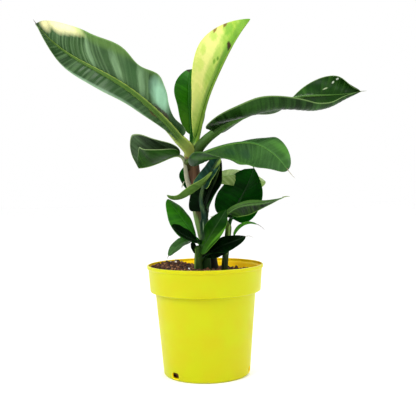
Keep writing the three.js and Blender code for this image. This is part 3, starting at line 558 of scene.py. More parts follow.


# Leaves: foot, stalk and blade length, then keys for rise, heading and roll along both. Left and right of
# the midrib, seen from foot to tip: width is the widest half width, fold the angle up from flat, curl the
# turn from midrib to margin, which late above 1 keeps for the margin, sweep how far the margin is drawn
# towards the tip, swell the bells that widen or pinch it (place, spread, share) and lean how far the side
# veins run on for each mm across. shape holds the outline's two powers. rib is the stalk's radius at foot
# and tip, pleat the ripple's depth and pitch, wave the margin's depth, count and phase. stem and drop say
# where the stalk starts inside its stem. ribBand is a strip by the midrib: reach, colour, strength; on the
# long leaf it is painted shade, on the narrow right leaf painted light. sheath is the colour of the stalk's
# foot: share of its length, colour; on the arched leaf it is painted shade. grooveTurn is where the
# groove's painted shade lies round the stalk. thread is a withered tip: length, rise, heading, radius,
# colour. spots are bruises and patches, and on some leaves painted sheen and painted shade: share of
# the blade, place from midrib (0) to right (1) or left (-1) margin, length, width, colour, strength, and
# how ragged.
leaves = {
    "great": dict(
        foot=(-16, -2, 234), stalk=12, blade=187, rise=[55, 40, 29, 50],
        heading=[-174, -167, -189, -142], roll=[-67, -66, -90, -53], width=(17, 36), shape=(0.39, 0.42),
        sweep=(-0.05, -0.14), fold=([25, 11, 25], [42, 42, 39]), curl=([-4, -16, 3], [6, -32, 21]),
        swell=((), ((0.11, 0.106, -0.64), (0.27, 0.052, -0.15), (0.42, 0.088, -0.28),
            (0.2, 0.049, -0.12))),
        lean=(0.5, 1.0), rib=(6.2, 0.8), look="great", pleat=(0.35, 7.5), wave=(1.6, 2.6, 0.1),
        stem="main", drop=26, sheath=(0.26, "#7c8236"), grooveTurn=0.2,
        thread=(3.5, 60, -185, 0.5, "#3a2a20"),
        spots=[(0.55, 0.93, 100, 6, "#4d6f2c", 0.7, 0.25), (0.985, 0.7, 8, 4, "#e2dca2", 0.9, 0.0),
            (0.96, 0.88, 13, 4, "#e8e2a8", 0.9, 0.0), (0.935, 0.93, 14, 4, "#e8e2a8", 0.9, 0.0),
            (0.905, 0.96, 15, 3.6, "#e4dfa4", 0.9, 0.0), (0.87, 0.97, 15, 3.2, "#dcd89a", 0.9, 0.0),
            # the blue-green patch at 0.24 is painted sheen; the dark patches at 0.42 and 0.08, on the hump
            # and by the foot, are painted shade
            (0.83, 0.98, 15, 2.6, "#b4c07c", 0.8, 0.1), (0.24, 0.66, 11, 11, "#8fbf9f", 0.75, 0.25),
            (0.42, 0.62, 12, 10, "#2b4f24", 0.7, 0.2), (0.08, 0.8, 12, 10, "#16350f", 0.9, 0.2),
            (0.235, 0.1, 6, 1.6, "#241a14", 0.9, 0.7), (0.19, 0.24, 7, 2, "#2a1e17", 0.9, 0.7),
            (0.15, 0.42, 5, 1.6, "#33261b", 0.85, 0.8), (0.2, -0.4, 5, 2, "#5a3418", 0.9, 0.7),
            # the pale cross streaks are painted sheen and the dark ones between them painted shade, as is the
            # dark patch over the lower half at 0.35
            (0.66, 0.4, 4, 12, "#86a87c", 0.4, 0.5), (0.5, 0.4, 4, 12, "#86a87c", 0.4, 0.5),
            (0.36, 0.45, 4, 12, "#86a87c", 0.4, 0.5), (0.74, 0.3, 4, 9, "#26421a", 0.55, 0.5),
            (0.58, 0.35, 4, 10, "#24401a", 0.55, 0.5), (0.5, -0.96, 110, 2, "#9fc0a0", 0.6, 0.3),
            (0.35, -0.5, 60, 12, "#1c3a16", 0.6, 0.2)]),
    "spear": dict(
        foot=(-14, 3, 226), stalk=14, blade=144, rise=[71, 74, 64, 60, 49], heading=[8, 17, 13, 5, 2],
        roll=[27, 27, -13], width=(28, 37), shape=(1.17, 0.91), sweep=(0.05, -0.27),
        fold=([99, 64], [71, 74]), curl=([30, -1], [-1, 0]), rib=(4.2, 0.7), look="spear",
        pleat=(0.2, 5), wave=(0.5, 3.2, 0.4), stem="main", drop=24, ribBand=(8, "#4c8420", 0.9),
        sheath=(0.28, "#dfe08c"),
        spots=[(0.45, 0.66, 44, 15, "#e0dc80", 0.75, 0.0),
            (0.72, 0.66, 26, 12, "#dfe084", 0.7, 0.0), (0.55, 0.75, 7, 5, "#b4cc54", 0.6, 0.8),
            (0.35, 0.7, 9, 6, "#bcd05c", 0.5, 0.8), (0.66, 0.8, 6, 3, "#a6c64a", 0.6, 0.8),
            (0.78, 0.78, 5, 4, "#98c040", 0.6, 0.8), (0.8, 0.3, 12, 6, "#7fb236", 0.7, 0.6),
            (0.87, 0.6, 7, 5, "#74aa34", 0.8, 0.7), (0.66, 0.3, 10, 4, "#8cba40", 0.6, 0.7),
            (0.93, 0.4, 9, 8, "#7cab3a", 0.7, 0.5), (0.2, 0.5, 20, 9, "#a9c850", 0.6, 0.4),
            (0.5, 0.3, 16, 6, "#8cb83c", 0.6, 0.5), (0.74, 0.03, 3.5, 3, "#2b1a0c", 0.95, 0.6),
            (0.76, 0.12, 2.5, 2, "#3a2410", 0.95, 0.6), (0.89, 0.97, 4, 1.5, "#6b4a22", 0.9, 0.7),
            (0.83, 0.97, 4, 1.5, "#7a5526", 0.9, 0.7), (0.6, 0.3, 2.5, 1.6, "#6f9a2c", 0.9, 0.5),
            (0.63, 0.22, 2, 1.4, "#5f8a28", 0.9, 0.5)]),
    "back": dict(
        foot=(-11, 7, 240), stalk=8, blade=72, rise=[75, 78, 80], heading=[91, 110, 40], roll=[0, 0, 5],
        width=(17, 17), shape=(0.5, 0.46), fold=([14, 14], [12, 12]), curl=([12, 12], [10, 10]),
        rib=(3, 0.5), look="bright", stem="main", drop=24,
        spots=[(0.12, -0.6, 18, 9, "#44761c", 0.8, 0.2), (0.985, -0.4, 2, 3, "#2a1a14", 0.9, 0.4)]),
    "long": dict(
        foot=(-3, 0, 235), stalk=23, blade=164, rise=[54, 22, 17, 3, 4], heading=[-16, -19, 7, 25, -37],
        roll=[-38, 25, -2, 45], width=(35, 41), shape=(0.27, 0.51), sweep=(-0.11, -0.18),
        fold=([0, -22, -5, 51], [-3, -16, -90, 6]), curl=([2, -12, 13, 128], [-10, 132, 168, 69]),
        late=(1, 1.5), rib=(5.5, 0.7), look="long", pleat=(0.2, 6), wave=(0.4, 4, 0.2), stem="main",
        # the dark band by the midrib is painted shade along the midrib's shaded underside
        drop=26, ribBand=(7, "#16320c", 0.6), sheath=(0.34, "#2a4012"),
        thread=(5, 0, -10, 0.5, "#5d6b3c"),
        # the three small pale spots near the tip are painted highlights
        spots=[(0.87, -0.85, 1.2, 1, "#cfd8c8", 0.9, 0.5),
            (0.845, -0.68, 0.9, 1, "#c3cdb8", 0.9, 0.5), (0.8, -0.45, 2, 0.8, "#a8b890", 0.8, 0.6)]),
    "smallLeft": dict(
        foot=(-15, -4, 196), stalk=34, blade=46, rise=[65, 81, -13, -22, 0],
        heading=[-127, -125, -157, -164, -149], roll=[-37, -63, -48, -8], width=(31, 35),
        shape=(0.67, 0.37), sweep=(0.32, 0.23), fold=([74, 51], [61, 43]), curl=([39, 22], [40, 10]),
        rib=(3, 0.5), look="grey", stem="main", drop=34, sheath=(0.62, "#a8a58c")),
    "broadRight": dict(
        foot=(-16, -11, 220), stalk=5, blade=132, rise=[21, 11, -15, -56], heading=[-48, -32, -53, -34],
        roll=[40, 32, 50, 21], width=(26, 35), shape=(0.15, 0.49), sweep=(-0.26, 0.43),
        fold=([-56, -34, -17, 22], [-53, -16, -26, 11]), curl=([62, 5, -29, 40], [240, 48, 81, -7]),
        late=(1, 1.5), rib=(2.4, 0.6), look="mid", pleat=(0.25, 5), wave=(0.5, 4, 0.3), stem="main",
        drop=18, sheath=(0.3, "#3c3a1c"), thread=(9, -45, -15, 0.4, "#8a8264"),
        spots=[(0.39, 0.37, 7, 5, "#1c3f20", 0.7, 0.6), (0.56, 0.44, 8, 5, "#1c3f20", 0.7, 0.6),
            # the large dark patch at 0.08 is painted shade on the lobe at the leaf's foot
            (0.9, -0.9, 20, 4, "#4f8a2c", 0.4, 0.2), (0.08, 0.5, 30, 26, "#163410", 0.8, 0.2),
            (0.6, 0.95, 60, 3, "#4c7c2c", 0.5, 0.2)]),
    "upturned": dict(
        foot=(-2, -17, 174), stalk=19, blade=37, rise=[105, 71, 59, 54], heading=[-1, 0, -5, 11],
        roll=[57, 53, 47, 67], width=(14, 9), shape=(0.15, 0.59), sweep=(-0.15, -0.14),
        fold=([2, -9], [18, -25]), curl=([2, -2], [10, -11]), rib=(2.6, 0.5), look="blue",
        stem="centre", drop=16, sheath=(0.2, "#0f2c20"), grooveTurn=0.0,
        spots=[(0.88, 0.8, 9, 1.4, "#93b352", 0.9, 0.2)]),
    "arched": dict(
        foot=(14, -13, 211), stalk=5, blade=62, rise=[-49, -37, -25, 44],
        heading=[-157, -158, -184, -110], roll=[-29, -29, -17], width=(13, 6), shape=(0.5, 0.85),
        sweep=(-0.01, 0.08), fold=([61, 50, 48], [95, 93, 81]), curl=([20, 20, 15], [17, 15, 11]),
        # the near-black foot of its stalk is painted shade among the stems
        rib=(1.3, 0.4), look="limeBack", stem="centre", drop=24, sheath=(0.17, "#0a1c06"),
        spots=[(0.06, -0.7, 9, 6, "#8fae50", 0.7, 0.2)]),
    "shaded": dict(
        foot=(3, -13, 167), stalk=1, blade=57, rise=[81, 72, 71], heading=[57, 31, 19],
        roll=[-6, 34, 15], width=(20, 20), shape=(0.1, 0.56), sweep=(-0.07, 0.13),
        fold=([19, 4], [38, 8]), curl=([8, -7], [36, 2]), look="dark", stem="centre", drop=16),
    "upright": dict(
        foot=(27, -7, 159), stalk=3, blade=68, rise=[48, 44, 64], heading=[58, 55, 48],
        roll=[22, 6, -18], width=(28, 25), shape=(0.31, 0.25), sweep=(-0.08, -0.14),
        fold=([-5, 14], [-22, 26]), curl=([-3, 16], [-17, 32]), rib=(2, 0.4), look="deep", stem="right",
        drop=20),
    "narrowRight": dict(
        foot=(23, -14, 166), stalk=1, blade=61, rise=[40, 3, 23], heading=[7, -23, -16],
        roll=[0, 17, -1], width=(5, 26), shape=(0.2, 0.62), sweep=(-0.08, 0.04),
        fold=([26, 16], [-10, 1]), curl=([5, 14], [-15, -5]), rib=(1.8, 0.4), look="olive",
        # the light band by the midrib is painted light from the lit upper half
        stem="right", drop=18, ribBand=(7, "#55803a", 0.8), thread=(6, -10, -20, 0.7, "#7f9648")),
    "brightLeft": dict(
        foot=(-7, -17, 140), stalk=3, blade=49, rise=[55, 53, 52], heading=[-143, -165, -178],
        roll=[-60, -49, -33], width=(18, 16), shape=(0.55, 0.59), fold=([-13, 4], [-6, -7]),
        curl=([-23, -2], [-16, -17]), look="bright", stem="centre", drop=16),
    "darkLeft": dict(
        foot=(-6, -22, 139), stalk=2, blade=35, rise=[14, 27, 41], heading=[-135, -143, -145],
        roll=[-43, -40, -43], width=(10, 10), shape=(0.5, 0.5), fold=([14, 8], [16, 10]),
        curl=([5, -2], [7, 1]), look="dark", stem="centre", drop=16),
    "lowLeft": dict(
        foot=(-11, -14, 139), stalk=3, blade=30, rise=[9, -31, -51], heading=[-152, -156, -157],
        roll=[-40, -30, -33], width=(7, 7), shape=(0.47, 0.63), fold=([17, 12], [13, 5]),
        curl=([8, 2], [4, -6]), rib=(1, 0.3), look="mid", stem="centre", drop=16,
        thread=(4, -70, -100, 0.35, "#6a5f48")),
    "front": dict(
        foot=(-5, -22, 127), stalk=2, blade=51, rise=[58, 55, 56], heading=[-47, -9, 20],
        roll=[59, 43, 64], width=(14, 18), shape=(0.53, 1.04), sweep=(0.05, -0.04),
        fold=([1, 9], [6, 3]), curl=([-2, 6], [-2, 6]), look="fresh", stem="front", drop=10,
        # the lighter patch low down is where the painted shade of its top gives way
        spots=[(0.2, 0.3, 16, 10, "#28520e", 0.8, 0.3), (0.6, 0.9, 20, 2, "#4c8420", 0.7, 0.3)]),
    "lowRight": dict(
        foot=(4, -20, 126), stalk=2, blade=41, rise=[38, 20, 22], heading=[-29, -17, -17],
        roll=[40, 53, 32], width=(9, 11), shape=(0.46, 0.54), sweep=(-0.08, 0.04),
        fold=([17, -4], [18, 2]), curl=([7, -16], [9, -9]), look="dark", stem="front", drop=12,
        thread=(8, -35, -15, 0.3, "#8a8468")),
    "lowest": dict(
        foot=(-2, -16, 125), stalk=2, blade=25, rise=[9, 7, 4], heading=[-10, -8, -9],
        roll=[41, 51, 20], width=(5, 8), shape=(0.25, 0.58), fold=([21, -11], [17, 1]),
        curl=([9, -19], [9, -9]), look="dark", stem="front", drop=12),
    "curled": dict(
        foot=(28, -10, 140), stalk=4, blade=32, rise=[64, 30, -19], heading=[-33, -32, -34],
        roll=[6, -10, -2], width=(3, 3), shape=(0.54, 0.78), fold=([20, 20], [29, 35]),
        curl=([20, 20], [19, 25]), rib=(1, 0.3), look="bright", stem="right", drop=12,
        thread=(10, -45, -30, 0.35, "#6e6650")),
    "pale": dict(
        foot=(-6, 14, 186), stalk=24, blade=66, rise=[45, 19, -6, -31], heading=[65, 28, 11, -5],
        roll=[-16, 20, 4], width=(12, 17), shape=(0.49, 0.31), sweep=(-0.01, -0.02),
        fold=([11, 13], [-18, -25]), curl=([1, 2], [-14, -17]), rib=(2.2, 0.5), look="lime",
        stem="main", drop=20),
    "tucked": dict(
        foot=(-9, 12, 182), stalk=8, blade=33, rise=[54, 65, 77], heading=[138, 122, 2], roll=[-13, 3],
        width=(9, 10), shape=(0.5, 0.4), fold=([-3, 13], [8, 8]), curl=([-12, 5], [0, 0]), look="deep",
        stem="main", drop=16),
    "tiny": dict(
        foot=(-13, -15, 139), stalk=2, blade=12, rise=[-60, -72], heading=[-60, -50], width=(3.4, 3.4),
        shape=(0.5, 0.6), fold=([10, 10], [10, 10]), curl=([8, 4], [8, 4]), rib=(0.8, 0.3), look="dark",
        stem="centre", drop=10),
}
usual = dict(
    rib=(1.5, 0.4), sweep=(0, 0), late=(1, 1), pleat=(0.12, 4), wave=(0.3, 2.5, 0.2), spots=[],
    swell=((), ()), lean=(0.55, 0.55), ribBand=(2, "#2c5a1c", 0.0), grooveTurn=0.25,
    sheath=(0.12, "#33480f"), thread=None)
leaves = {name: {**usual, **leaf} for name, leaf in leaves.items()}

# Scraps: centre, half the reach and the bend of each papery strip
scraps = dict(
    strips=[((8.2, -19, 163.6), (2.2, 0, 0.6), (0, 0, -0.7)), ((4.2, -19, 158.4), (0.4, 0, 1.4), (0.6, 0, 0)),
            ((-21, -2, 196), (1.5, -0.5, 3.5), (-0.6, 0, 0))],
    thick=0.7, colour="#b4b8a0")
bladeThickness = 0.5
ribSink = 0.55  # of the rib's radius, from the blade's surface down to the rib's middle
ribEnd = 0.985  # share of stalk and blade where the midrib ends and a withered tip starts
veinUnit = 100  # mm on a leaf to one unit of its vein map

# top: dark, body and light tones of the upper face, the dark one for random patches and fine veins, the
# light one along the pleat streaks and partly painted sheen; under: the same beneath; bloom is the wax on
# top, streak how strongly the pleats show, edge how pale the margin is, groove the painted shade in the
# hollow along the rib's upper side
leafLooks = {
    "great": dict(
        top=("#1a3812", "#2d4d22", "#6f9060"), under=("#1d3a1b", "#30522a", "#57803f"),
        margin="#8fb46a", rib="#93a445", groove="#2c5216", bloom=0.06, rough=0.42, gloss=0.25,
        streak=0.6, edge=0.3),
    "long": dict(
        top=("#092504", "#163c08", "#3f6c24"), under=("#0e2407", "#1a3a0c", "#3c682a"),
        margin="#7f9e5c", rib="#3f6a22", groove="#18380f", rough=0.4, gloss=0.08, streak=0.4, edge=0.5),
    "grey": dict(
        top=("#1a2914", "#324a28", "#5e7856"), under=("#133006", "#1b400b", "#33601c"),
        margin="#9db47a", rib="#55752f", groove="#2b4a22", bloom=0.03, streak=0.4, edge=0.5),
    "olive": dict(
        top=("#0a2003", "#193608", "#41661f"), under=("#14300a", "#274c10", "#4c7a28"),
        margin="#6c9440", rib="#3a5c22", groove="#1c380c", gloss=0.02, streak=0.4),
    "mid": dict(
        top=("#1b3d14", "#2b521c", "#4a7a38"), under=("#0b2406", "#14350c", "#26501a"),
        margin="#5c8a36", rib="#5a8438", groove="#2f5c24", bloom=0.03, rough=0.43, gloss=0.14,
        edge=0.25),
    "lime": dict(
        top=("#6a8440", "#87a456", "#a9c27a"), under=("#6a8440", "#87a456", "#a9c27a"),
        margin="#5f8a36", rib="#8fae5c", groove="#6f9044", rough=0.5, streak=0.7),
    "limeBack": dict(
        top=("#0c2a12", "#164020", "#2c5c34"), under=("#3d5c22", "#527430", "#7f9a4c"),
        margin="#8fae50", rib="#4c6c2c", groove="#16401c", edge=0.5),
    # the blue-green top is partly the wax's own bloom, partly painted reflection of the pale sky
    "blue": dict(
        top=("#143a2a", "#265440", "#4c8270"), under=("#2c4714", "#405e1f", "#62823c"),
        margin="#9cba58", rib="#12332a", groove="#0b241b", bloom=0.05, gloss=0.14, streak=0.4,
        edge=0.6),
    # dark on both faces: painted shade for the leaves deep inside the clump
    "dark": dict(
        top=("#010a01", "#021402", "#092a06"), under=("#081f05", "#11330c", "#234f16"),
        margin="#123a0c", rib="#0b2a08", groove="#041404", rough=0.42, gloss=0.03, edge=0.15),
    "deep": dict(
        top=("#022a01", "#064002", "#0f5a06"), under=("#173c0c", "#275416", "#437626"),
        margin="#1a5a0c", rib="#114a08", groove="#0a3404", gloss=0.02, edge=0.25),
    # very dark on top: painted shade over the front leaf, which lies under the crown
    "fresh": dict(
        top=("#052001", "#092f02", "#154705"), under=("#1f4a0f", "#2f5f19", "#4c8228"),
        margin="#5a8a22", rib="#133a06", groove="#0f3204", rough=0.42, gloss=0.04),
    "bright": dict(
        top=("#174c05", "#246408", "#3d8612"), under=("#25600f", "#3a7a1a", "#5f9e2c"),
        margin="#3f8416", rib="#22620a", groove="#195006", rough=0.42, edge=0.3),
    "spear": dict(
        top=("#5f9428", "#8cba34", "#c9d864"), under=("#8aba38", "#bfce4c", "#dde07a"),
        margin="#c3cf5c", rib="#557f1e", groove="#3f6c18", gloss=0.15, streak=0.7),
}
usualLook = dict(bloom=0.0, rough=0.45, gloss=0.1, streak=0.3, edge=0.4)
leafLooks = {name: {**usualLook, **look} for name, look in leafLooks.items()}


def outline(tau, shape):
    # half width as a share of its widest: a power of the way from the foot times one of the way to the tip
    p, q = shape
    widest = p / (p + q)
    return (tau / widest) ** p * ((1 - tau) / (1 - widest)) ** q


def halfWidth(leaf, k, tau):
    # widest half width times the outline, swollen or pinched by bells: place, spread and share of each
    bells = sum(share * np.exp(-(((tau - at) / spread) ** 2)) for at, spread, share in leaf["swell"][k])
    return leaf["width"][k] * outline(tau, leaf["shape"]) * (1 + bells)


def ribRadius(leaf, t):
    # thins from foot to tip, fastest near the foot
    thick, fine = leaf["rib"]
    return fine + (thick - fine) * (1 - t) ** 1.4


def gridNormal(points):
    # cross product of the two grid directions; rows that shrink to a point borrow from their neighbour
    normal = np.cross(np.gradient(points, axis=1), np.gradient(points, axis=0))
    normal[0], normal[-1] = normal[1], normal[-2]
    return unit(normal)


def veinAt(leaf, tau, v):
    # mm along the midrib where the side vein through this point starts, and mm across to the point
    width = np.where(v < 0, halfWidth(leaf, 0, tau), halfWidth(leaf, 1, tau))
    across, lean = v * width, np.where(v < 0, *leaf["lean"])
    return leaf["blade"] * tau - lean * np.abs(across) + 0.004 * across**2, across


def bladeGrid(leaf, tau, columns):
    # from the midrib an arc to each margin whose angle is fold + curl * (share of the way)^late; the middle
    # sinks into the rib; pleats follow the side veins and slow waves the margin, both along the normal
    t = (leaf["stalk"] + leaf["blade"] * tau) / (leaf["stalk"] + leaf["blade"])
    middle = limbPoints(leaf, leaf["stalk"] + leaf["blade"], t)
    along, face, side = limbAxes(leaf, t)
    v = np.linspace(0, 1, columns + 1) ** 1.2
    step, centre = np.diff(v), (v[1:] + v[:-1]) / 2
    halves = []
    for k, sign in ((0, -1), (1, 1)):
        width = halfWidth(leaf, k, tau)[:, None]
        fold, curl = (keyed(leaf[key][k], tau)[:, None] for key in ("fold", "curl"))
        angle = np.radians(fold + curl * centre ** leaf["late"][k])
        across, above = np.cumsum(np.cos(angle) * step, 1) * width, np.cumsum(np.sin(angle) * step, 1) * width
        swept = leaf["sweep"][k] * width * v[1:] ** 1.5
        halves.append(middle[:, None] + sign * side[:, None] * across[..., None]
                      + face[:, None] * above[..., None] + along[:, None] * swept[..., None])
    points = np.concatenate([halves[0][:, ::-1], middle[:, None], halves[1]], 1)
    v = np.concatenate([-v[:0:-1], v])
    vein, across = veinAt(leaf, tau[:, None], v[None])
    depth, pitch = leaf["pleat"]
    phase = 2 * np.pi * vein / pitch + 1.7 * (v < 0)
    pleat = depth * np.sin(phase + 0.8 * np.sin(0.37 * phase)) * np.sin(np.pi * np.abs(v) ** 0.7)
    high, count, shift = leaf["wave"]
    wave = high * np.sin(2 * np.pi * (count * tau[:, None] + shift + 0.3 * (v > 0))) * v**2
    fade = np.sqrt(np.sin(np.pi * np.clip(tau, 0, 1)))[:, None]
    points = points + gridNormal(points) * ((pleat + wave) * fade)[..., None]
    rib = ribRadius(leaf, t)[:, None]
    sink = rib * np.exp(-((across / (0.8 * rib)) ** 2))
    return points - face[:, None] * sink[..., None], v, vein, across


def bladeChunk(leaf):
    # closed sheet: rings of the upper face and back along the lower face, thinning to nothing at both ends
    rows = int(leaf["blade"] / 0.9) + 14
    columns = 22 if leaf["blade"] > 80 else 14
    s = np.linspace(0, 1, rows)
    tau = 0.35 * (1 - np.cos(np.pi * s)) / 2 + 0.65 * s
    points, v, vein, across = bladeGrid(leaf, tau, columns)
    thick = bladeThickness * np.minimum(4 * outline(tau, leaf["shape"]), 1)
    under = points - gridNormal(points) * thick[:, None, None]
    n = len(v)
    place = np.stack(np.broadcast_arrays(tau[:, None], v[None] / 2 + 0.5), -1)
    veins = np.stack([vein, np.broadcast_to(across, vein.shape)], -1) / veinUnit
    ring = {key: np.concatenate([upper, lower[:, ::-1]], 1) for key, upper, lower in (
        ("points", points, under), ("place", place, place), ("vein", veins, veins))}
    return {
        "points": ring["points"], "faces": gridFaces(rows, 2 * n),
        "paint": np.where(np.tile(np.arange(2 * n), rows - 1) < n - 1, 0, 1),
        "uv": {"place": ring["place"], "vein": ring["vein"]},
    }


def leafMaterial(name, leaf, face):
    # living banana leaf, waxed by its own cuticle: satin, with pleats that streak it from rib to margin in a
    # lighter tone that is partly painted sheen, a thin pale margin, a band by the midrib that is partly
    # painted shade and painted light, and where spots lie bruises and patches, with some painted sheen and
    # painted shade among them
    look = leafLooks[leaf["look"]]
    shade, body, light = (srgb(colour) for colour in look[face])
    wax = dict(Sheen_Weight=look["bloom"], Sheen_Roughness=0.45, Sheen_Tint=srgb("#cfe8dc"))
    material, tree, shader = newMaterial(
        f"banana leaf, waxy cuticle, {name} {face}", IOR=1.45, Specular_IOR_Level=look["gloss"],
        **(wax if face == "top" else {}))
    vein = addNode(tree, "UVMap", uv_map="vein").outputs[0]
    place = addNode(tree, "SeparateXYZ", {0: addNode(tree, "UVMap", uv_map="place")})
    spot = addNode(tree, "TexCoord").outputs["Object"]
    seed = 0.37 * list(leaves).index(name)
    # pleat streaks about 4 mm apart and fine veins about 2 mm apart, coarser than life so that they show
    pleats = addNode(tree, "Mapping", {0: vein, 1: (seed, seed, 0), 3: (24, 1.8, 1)})
    broad = addNode(tree, "TexNoise", {"Vector": pleats, "Scale": 1, "Detail": 2, "Roughness": 0.5})
    lines = addNode(tree, "Mapping", {0: vein, 3: (52, 3, 1)})
    fine = addNode(tree, "TexNoise", {"Vector": lines, "Scale": 1, "Detail": 2, "Roughness": 0.6})
    patchy = addNode(tree, "TexNoise", {"Vector": spot, "Scale": 42, "Detail": 3, "Roughness": 0.55})
    deep = addNode(tree, "MapRange", {0: patchy, 1: 0.38, 2: 0.62})
    base = addNode(tree, "Mix", {0: deep, 6: shade, 7: body}, data_type="RGBA")
    # the light tone along the pleat streaks is partly painted sheen
    lit = addNode(tree, "MapRange", {0: broad, 1: 0.45, 2: 0.72, 4: look["streak"]})
    streaked = addNode(tree, "Mix", {0: lit, 6: base, 7: light}, data_type="RGBA")
    thin = addNode(tree, "MapRange", {0: fine, 1: 0.5, 2: 0.75, 4: 0.35})
    colour = addNode(tree, "Mix", {0: thin, 6: streaked, 7: shade}, data_type="RGBA")
    across = addNode(tree, "SeparateXYZ", {0: vein}).outputs[1]
    aside = addNode(tree, "Math", {0: across}, operation="ABSOLUTE")
    # band by the midrib: its own green on the spear, painted shade on the long leaf, painted light on the
    # narrow right leaf
    reach, tone, share = leaf["ribBand"]
    near = addNode(tree, "MapRange", {0: aside, 1: reach / veinUnit, 2: 0.625 * reach / veinUnit, 4: share})
    colour = addNode(tree, "Mix", {0: near, 6: colour, 7: srgb(tone)}, data_type="RGBA")
    # spots: bruises and patches, some of them painted sheen and painted shade
    for tau, v, long, wide, tone, share, torn in leaf["spots"]:
        at = np.array(veinAt(leaf, tau, v)) / veinUnit
        size = veinUnit / np.array([long, wide])
        local = addNode(tree, "Mapping", {0: vein, 1: (*(-at * size), 0), 3: (*size, 1)})
        away = addNode(tree, "VectorMath", {0: local}, operation="LENGTH").outputs["Value"]
        ragged = addNode(tree, "TexNoise", {"Vector": local, "Scale": 1.6, "Detail": 3})
        frayed = addNode(tree, "Math", {0: ragged, 1: 1.8 * torn, 2: away}, operation="MULTIPLY_ADD")
        edge, soft = 1 + 0.9 * torn, 0.55 - 0.35 * torn
        mask = addNode(tree, "MapRange", {0: frayed, 1: edge + soft, 2: edge - soft, 4: share})
        colour = addNode(tree, "Mix", {0: mask, 6: colour, 7: srgb(tone)}, data_type="RGBA")
    off = addNode(tree, "Math", {0: place.outputs[1], 1: 0.5}, operation="SUBTRACT")
    far = addNode(tree, "Math", {0: off}, operation="ABSOLUTE")
    edge = addNode(tree, "MapRange", {0: far, 1: 0.478, 2: 0.493, 4: look["edge"]})
    colour = addNode(tree, "Mix", {0: edge, 6: colour, 7: srgb(look["margin"])}, data_type="RGBA")
    rough = addNode(tree, "MapRange",
                    {0: broad, 1: 0.3, 2: 0.7, 3: look["rough"] - 0.06, 4: look["rough"] + 0.1})
    height = addNode(tree, "Math", {0: fine, 1: 0.4, 2: broad}, operation="MULTIPLY_ADD")
    bump = addNode(tree, "Bump", {"Strength": 0.35, "Distance": 0.0006, "Height": height})
    fill(tree, shader, {"Base Color": colour, "Roughness": rough, "Normal": bump})
    return material


def makeBlade(name, leaf):
    # one leaf with its upper and lower material, in place of the imported leaf
    materials = [leafMaterial(name, leaf, "top"), leafMaterial(name, leaf, "under")]
    makePiece(f"blade_{name}", [bladeChunk(leaf)], materials, [f"leaf_{name}"], crease=60)


def stalkChunk(leaf):
    # from inside the stem a cubic curve to the leaf's foot, then on under the midrib to the tip
    stem = rootedStem(stems[leaf["stem"]])
    axis = limbPoints(stem, stem["length"], np.linspace(0, 1, 60))
    level = leaf["foot"][2] - leaf["drop"]
    start = np.array([np.interp(level, axis[:, 2], axis[:, k]) for k in range(3)])
    whole = leaf["stalk"] + leaf["blade"]
    t = np.linspace(0, ribEnd, 100)
    along, face, _ = limbAxes(leaf, t)
    r = ribRadius(leaf, t)
    settle = np.minimum(t * whole / leaf["stalk"], 1)
    spine = limbPoints(leaf, whole, t) - face * (ribSink * r * settle)[:, None]
    end = spine[0]
    reach = np.linalg.norm(end - start)
    steps = 25
    s = np.linspace(0, 1, steps + 1)[:-1, None]
    upward = unit(axis[-1] - axis[0]) * reach
    rise = (start * (2 * s**3 - 3 * s**2 + 1) + upward * (s**3 - 2 * s**2 + s)
            + end * (3 * s**2 - 2 * s**3) + along[0] * reach * (s**3 - s**2))
    wide = np.interp(s[:, 0], [0, 1], [0.7 * stem["radius"][1], r[0]])
    groove = np.concatenate([np.full(steps, 0.25), 0.25 + 0.3 * settle * (1 - t)])
    up = np.concatenate([np.broadcast_to(face[0], (steps, 3)), face])
    return tubeChunk(np.concatenate([rise, spine]), np.concatenate([wide, r]), up, sides=24, groove=groove)


def stalkMaterial(name, leaf):
    # petiole and midrib: smooth waxy skin streaked lengthwise, paler than the blade, with painted shade
    # darkening its groove
    look = leafLooks[leaf["look"]]
    material, tree, shader = newMaterial(
        f"leaf stalk, waxy, {name}", IOR=1.45, Specular_IOR_Level=0.15, Roughness=0.45)
    along = addNode(tree, "UVMap", uv_map="place")
    spot = addNode(tree, "TexCoord").outputs["Object"]
    lines = addNode(tree, "Mapping", {0: along, 3: (6, 40, 1)})
    streak = addNode(tree, "TexNoise", {"Vector": lines, "Scale": 1, "Detail": 2})
    cloud = addNode(tree, "TexNoise", {"Vector": spot, "Scale": 120, "Detail": 3})
    pale = addNode(tree, "MapRange", {0: streak, 1: 0.4, 2: 0.7, 4: 0.35})
    tone = addNode(tree, "Mix", {0: pale, 6: srgb(look["rib"]), 7: srgb(look["margin"])}, data_type="RGBA")
    dull = addNode(tree, "MapRange", {0: cloud, 1: 0.5, 2: 0.75, 4: 0.5})
    dulled = addNode(tree, "Mix", {0: dull, 6: tone, 7: srgb(look["under"][0])}, data_type="RGBA")
    turn = addNode(tree, "SeparateXYZ", {0: along})
    # painted shade: a darker band along the groove's side of the stalk
    off = addNode(tree, "Math", {0: turn.outputs[1], 1: leaf["grooveTurn"]}, operation="SUBTRACT")
    aside = addNode(tree, "Math", {0: off}, operation="ABSOLUTE")
    inside = addNode(tree, "MapRange", {0: aside, 1: 0.17, 2: 0.1, 4: 0.9})
    grooveShaded = addNode(tree, "Mix", {0: inside, 6: dulled, 7: srgb(look["groove"])}, data_type="RGBA")
    # the stalk's foot colour; on the arched leaf it is near-black painted shade
    reach, foot = leaf["sheath"]
    low = addNode(tree, "MapRange", {0: turn.outputs[0], 1: reach, 2: reach * 0.5})
    colour = addNode(tree, "Mix", {0: low, 6: grooveShaded, 7: srgb(foot)}, data_type="RGBA")
    bump = addNode(tree, "Bump", {"Strength": 0.2, "Distance": 0.0003, "Height": streak})
    fill(tree, shader, {"Base Color": colour, "Normal": bump})
    return material


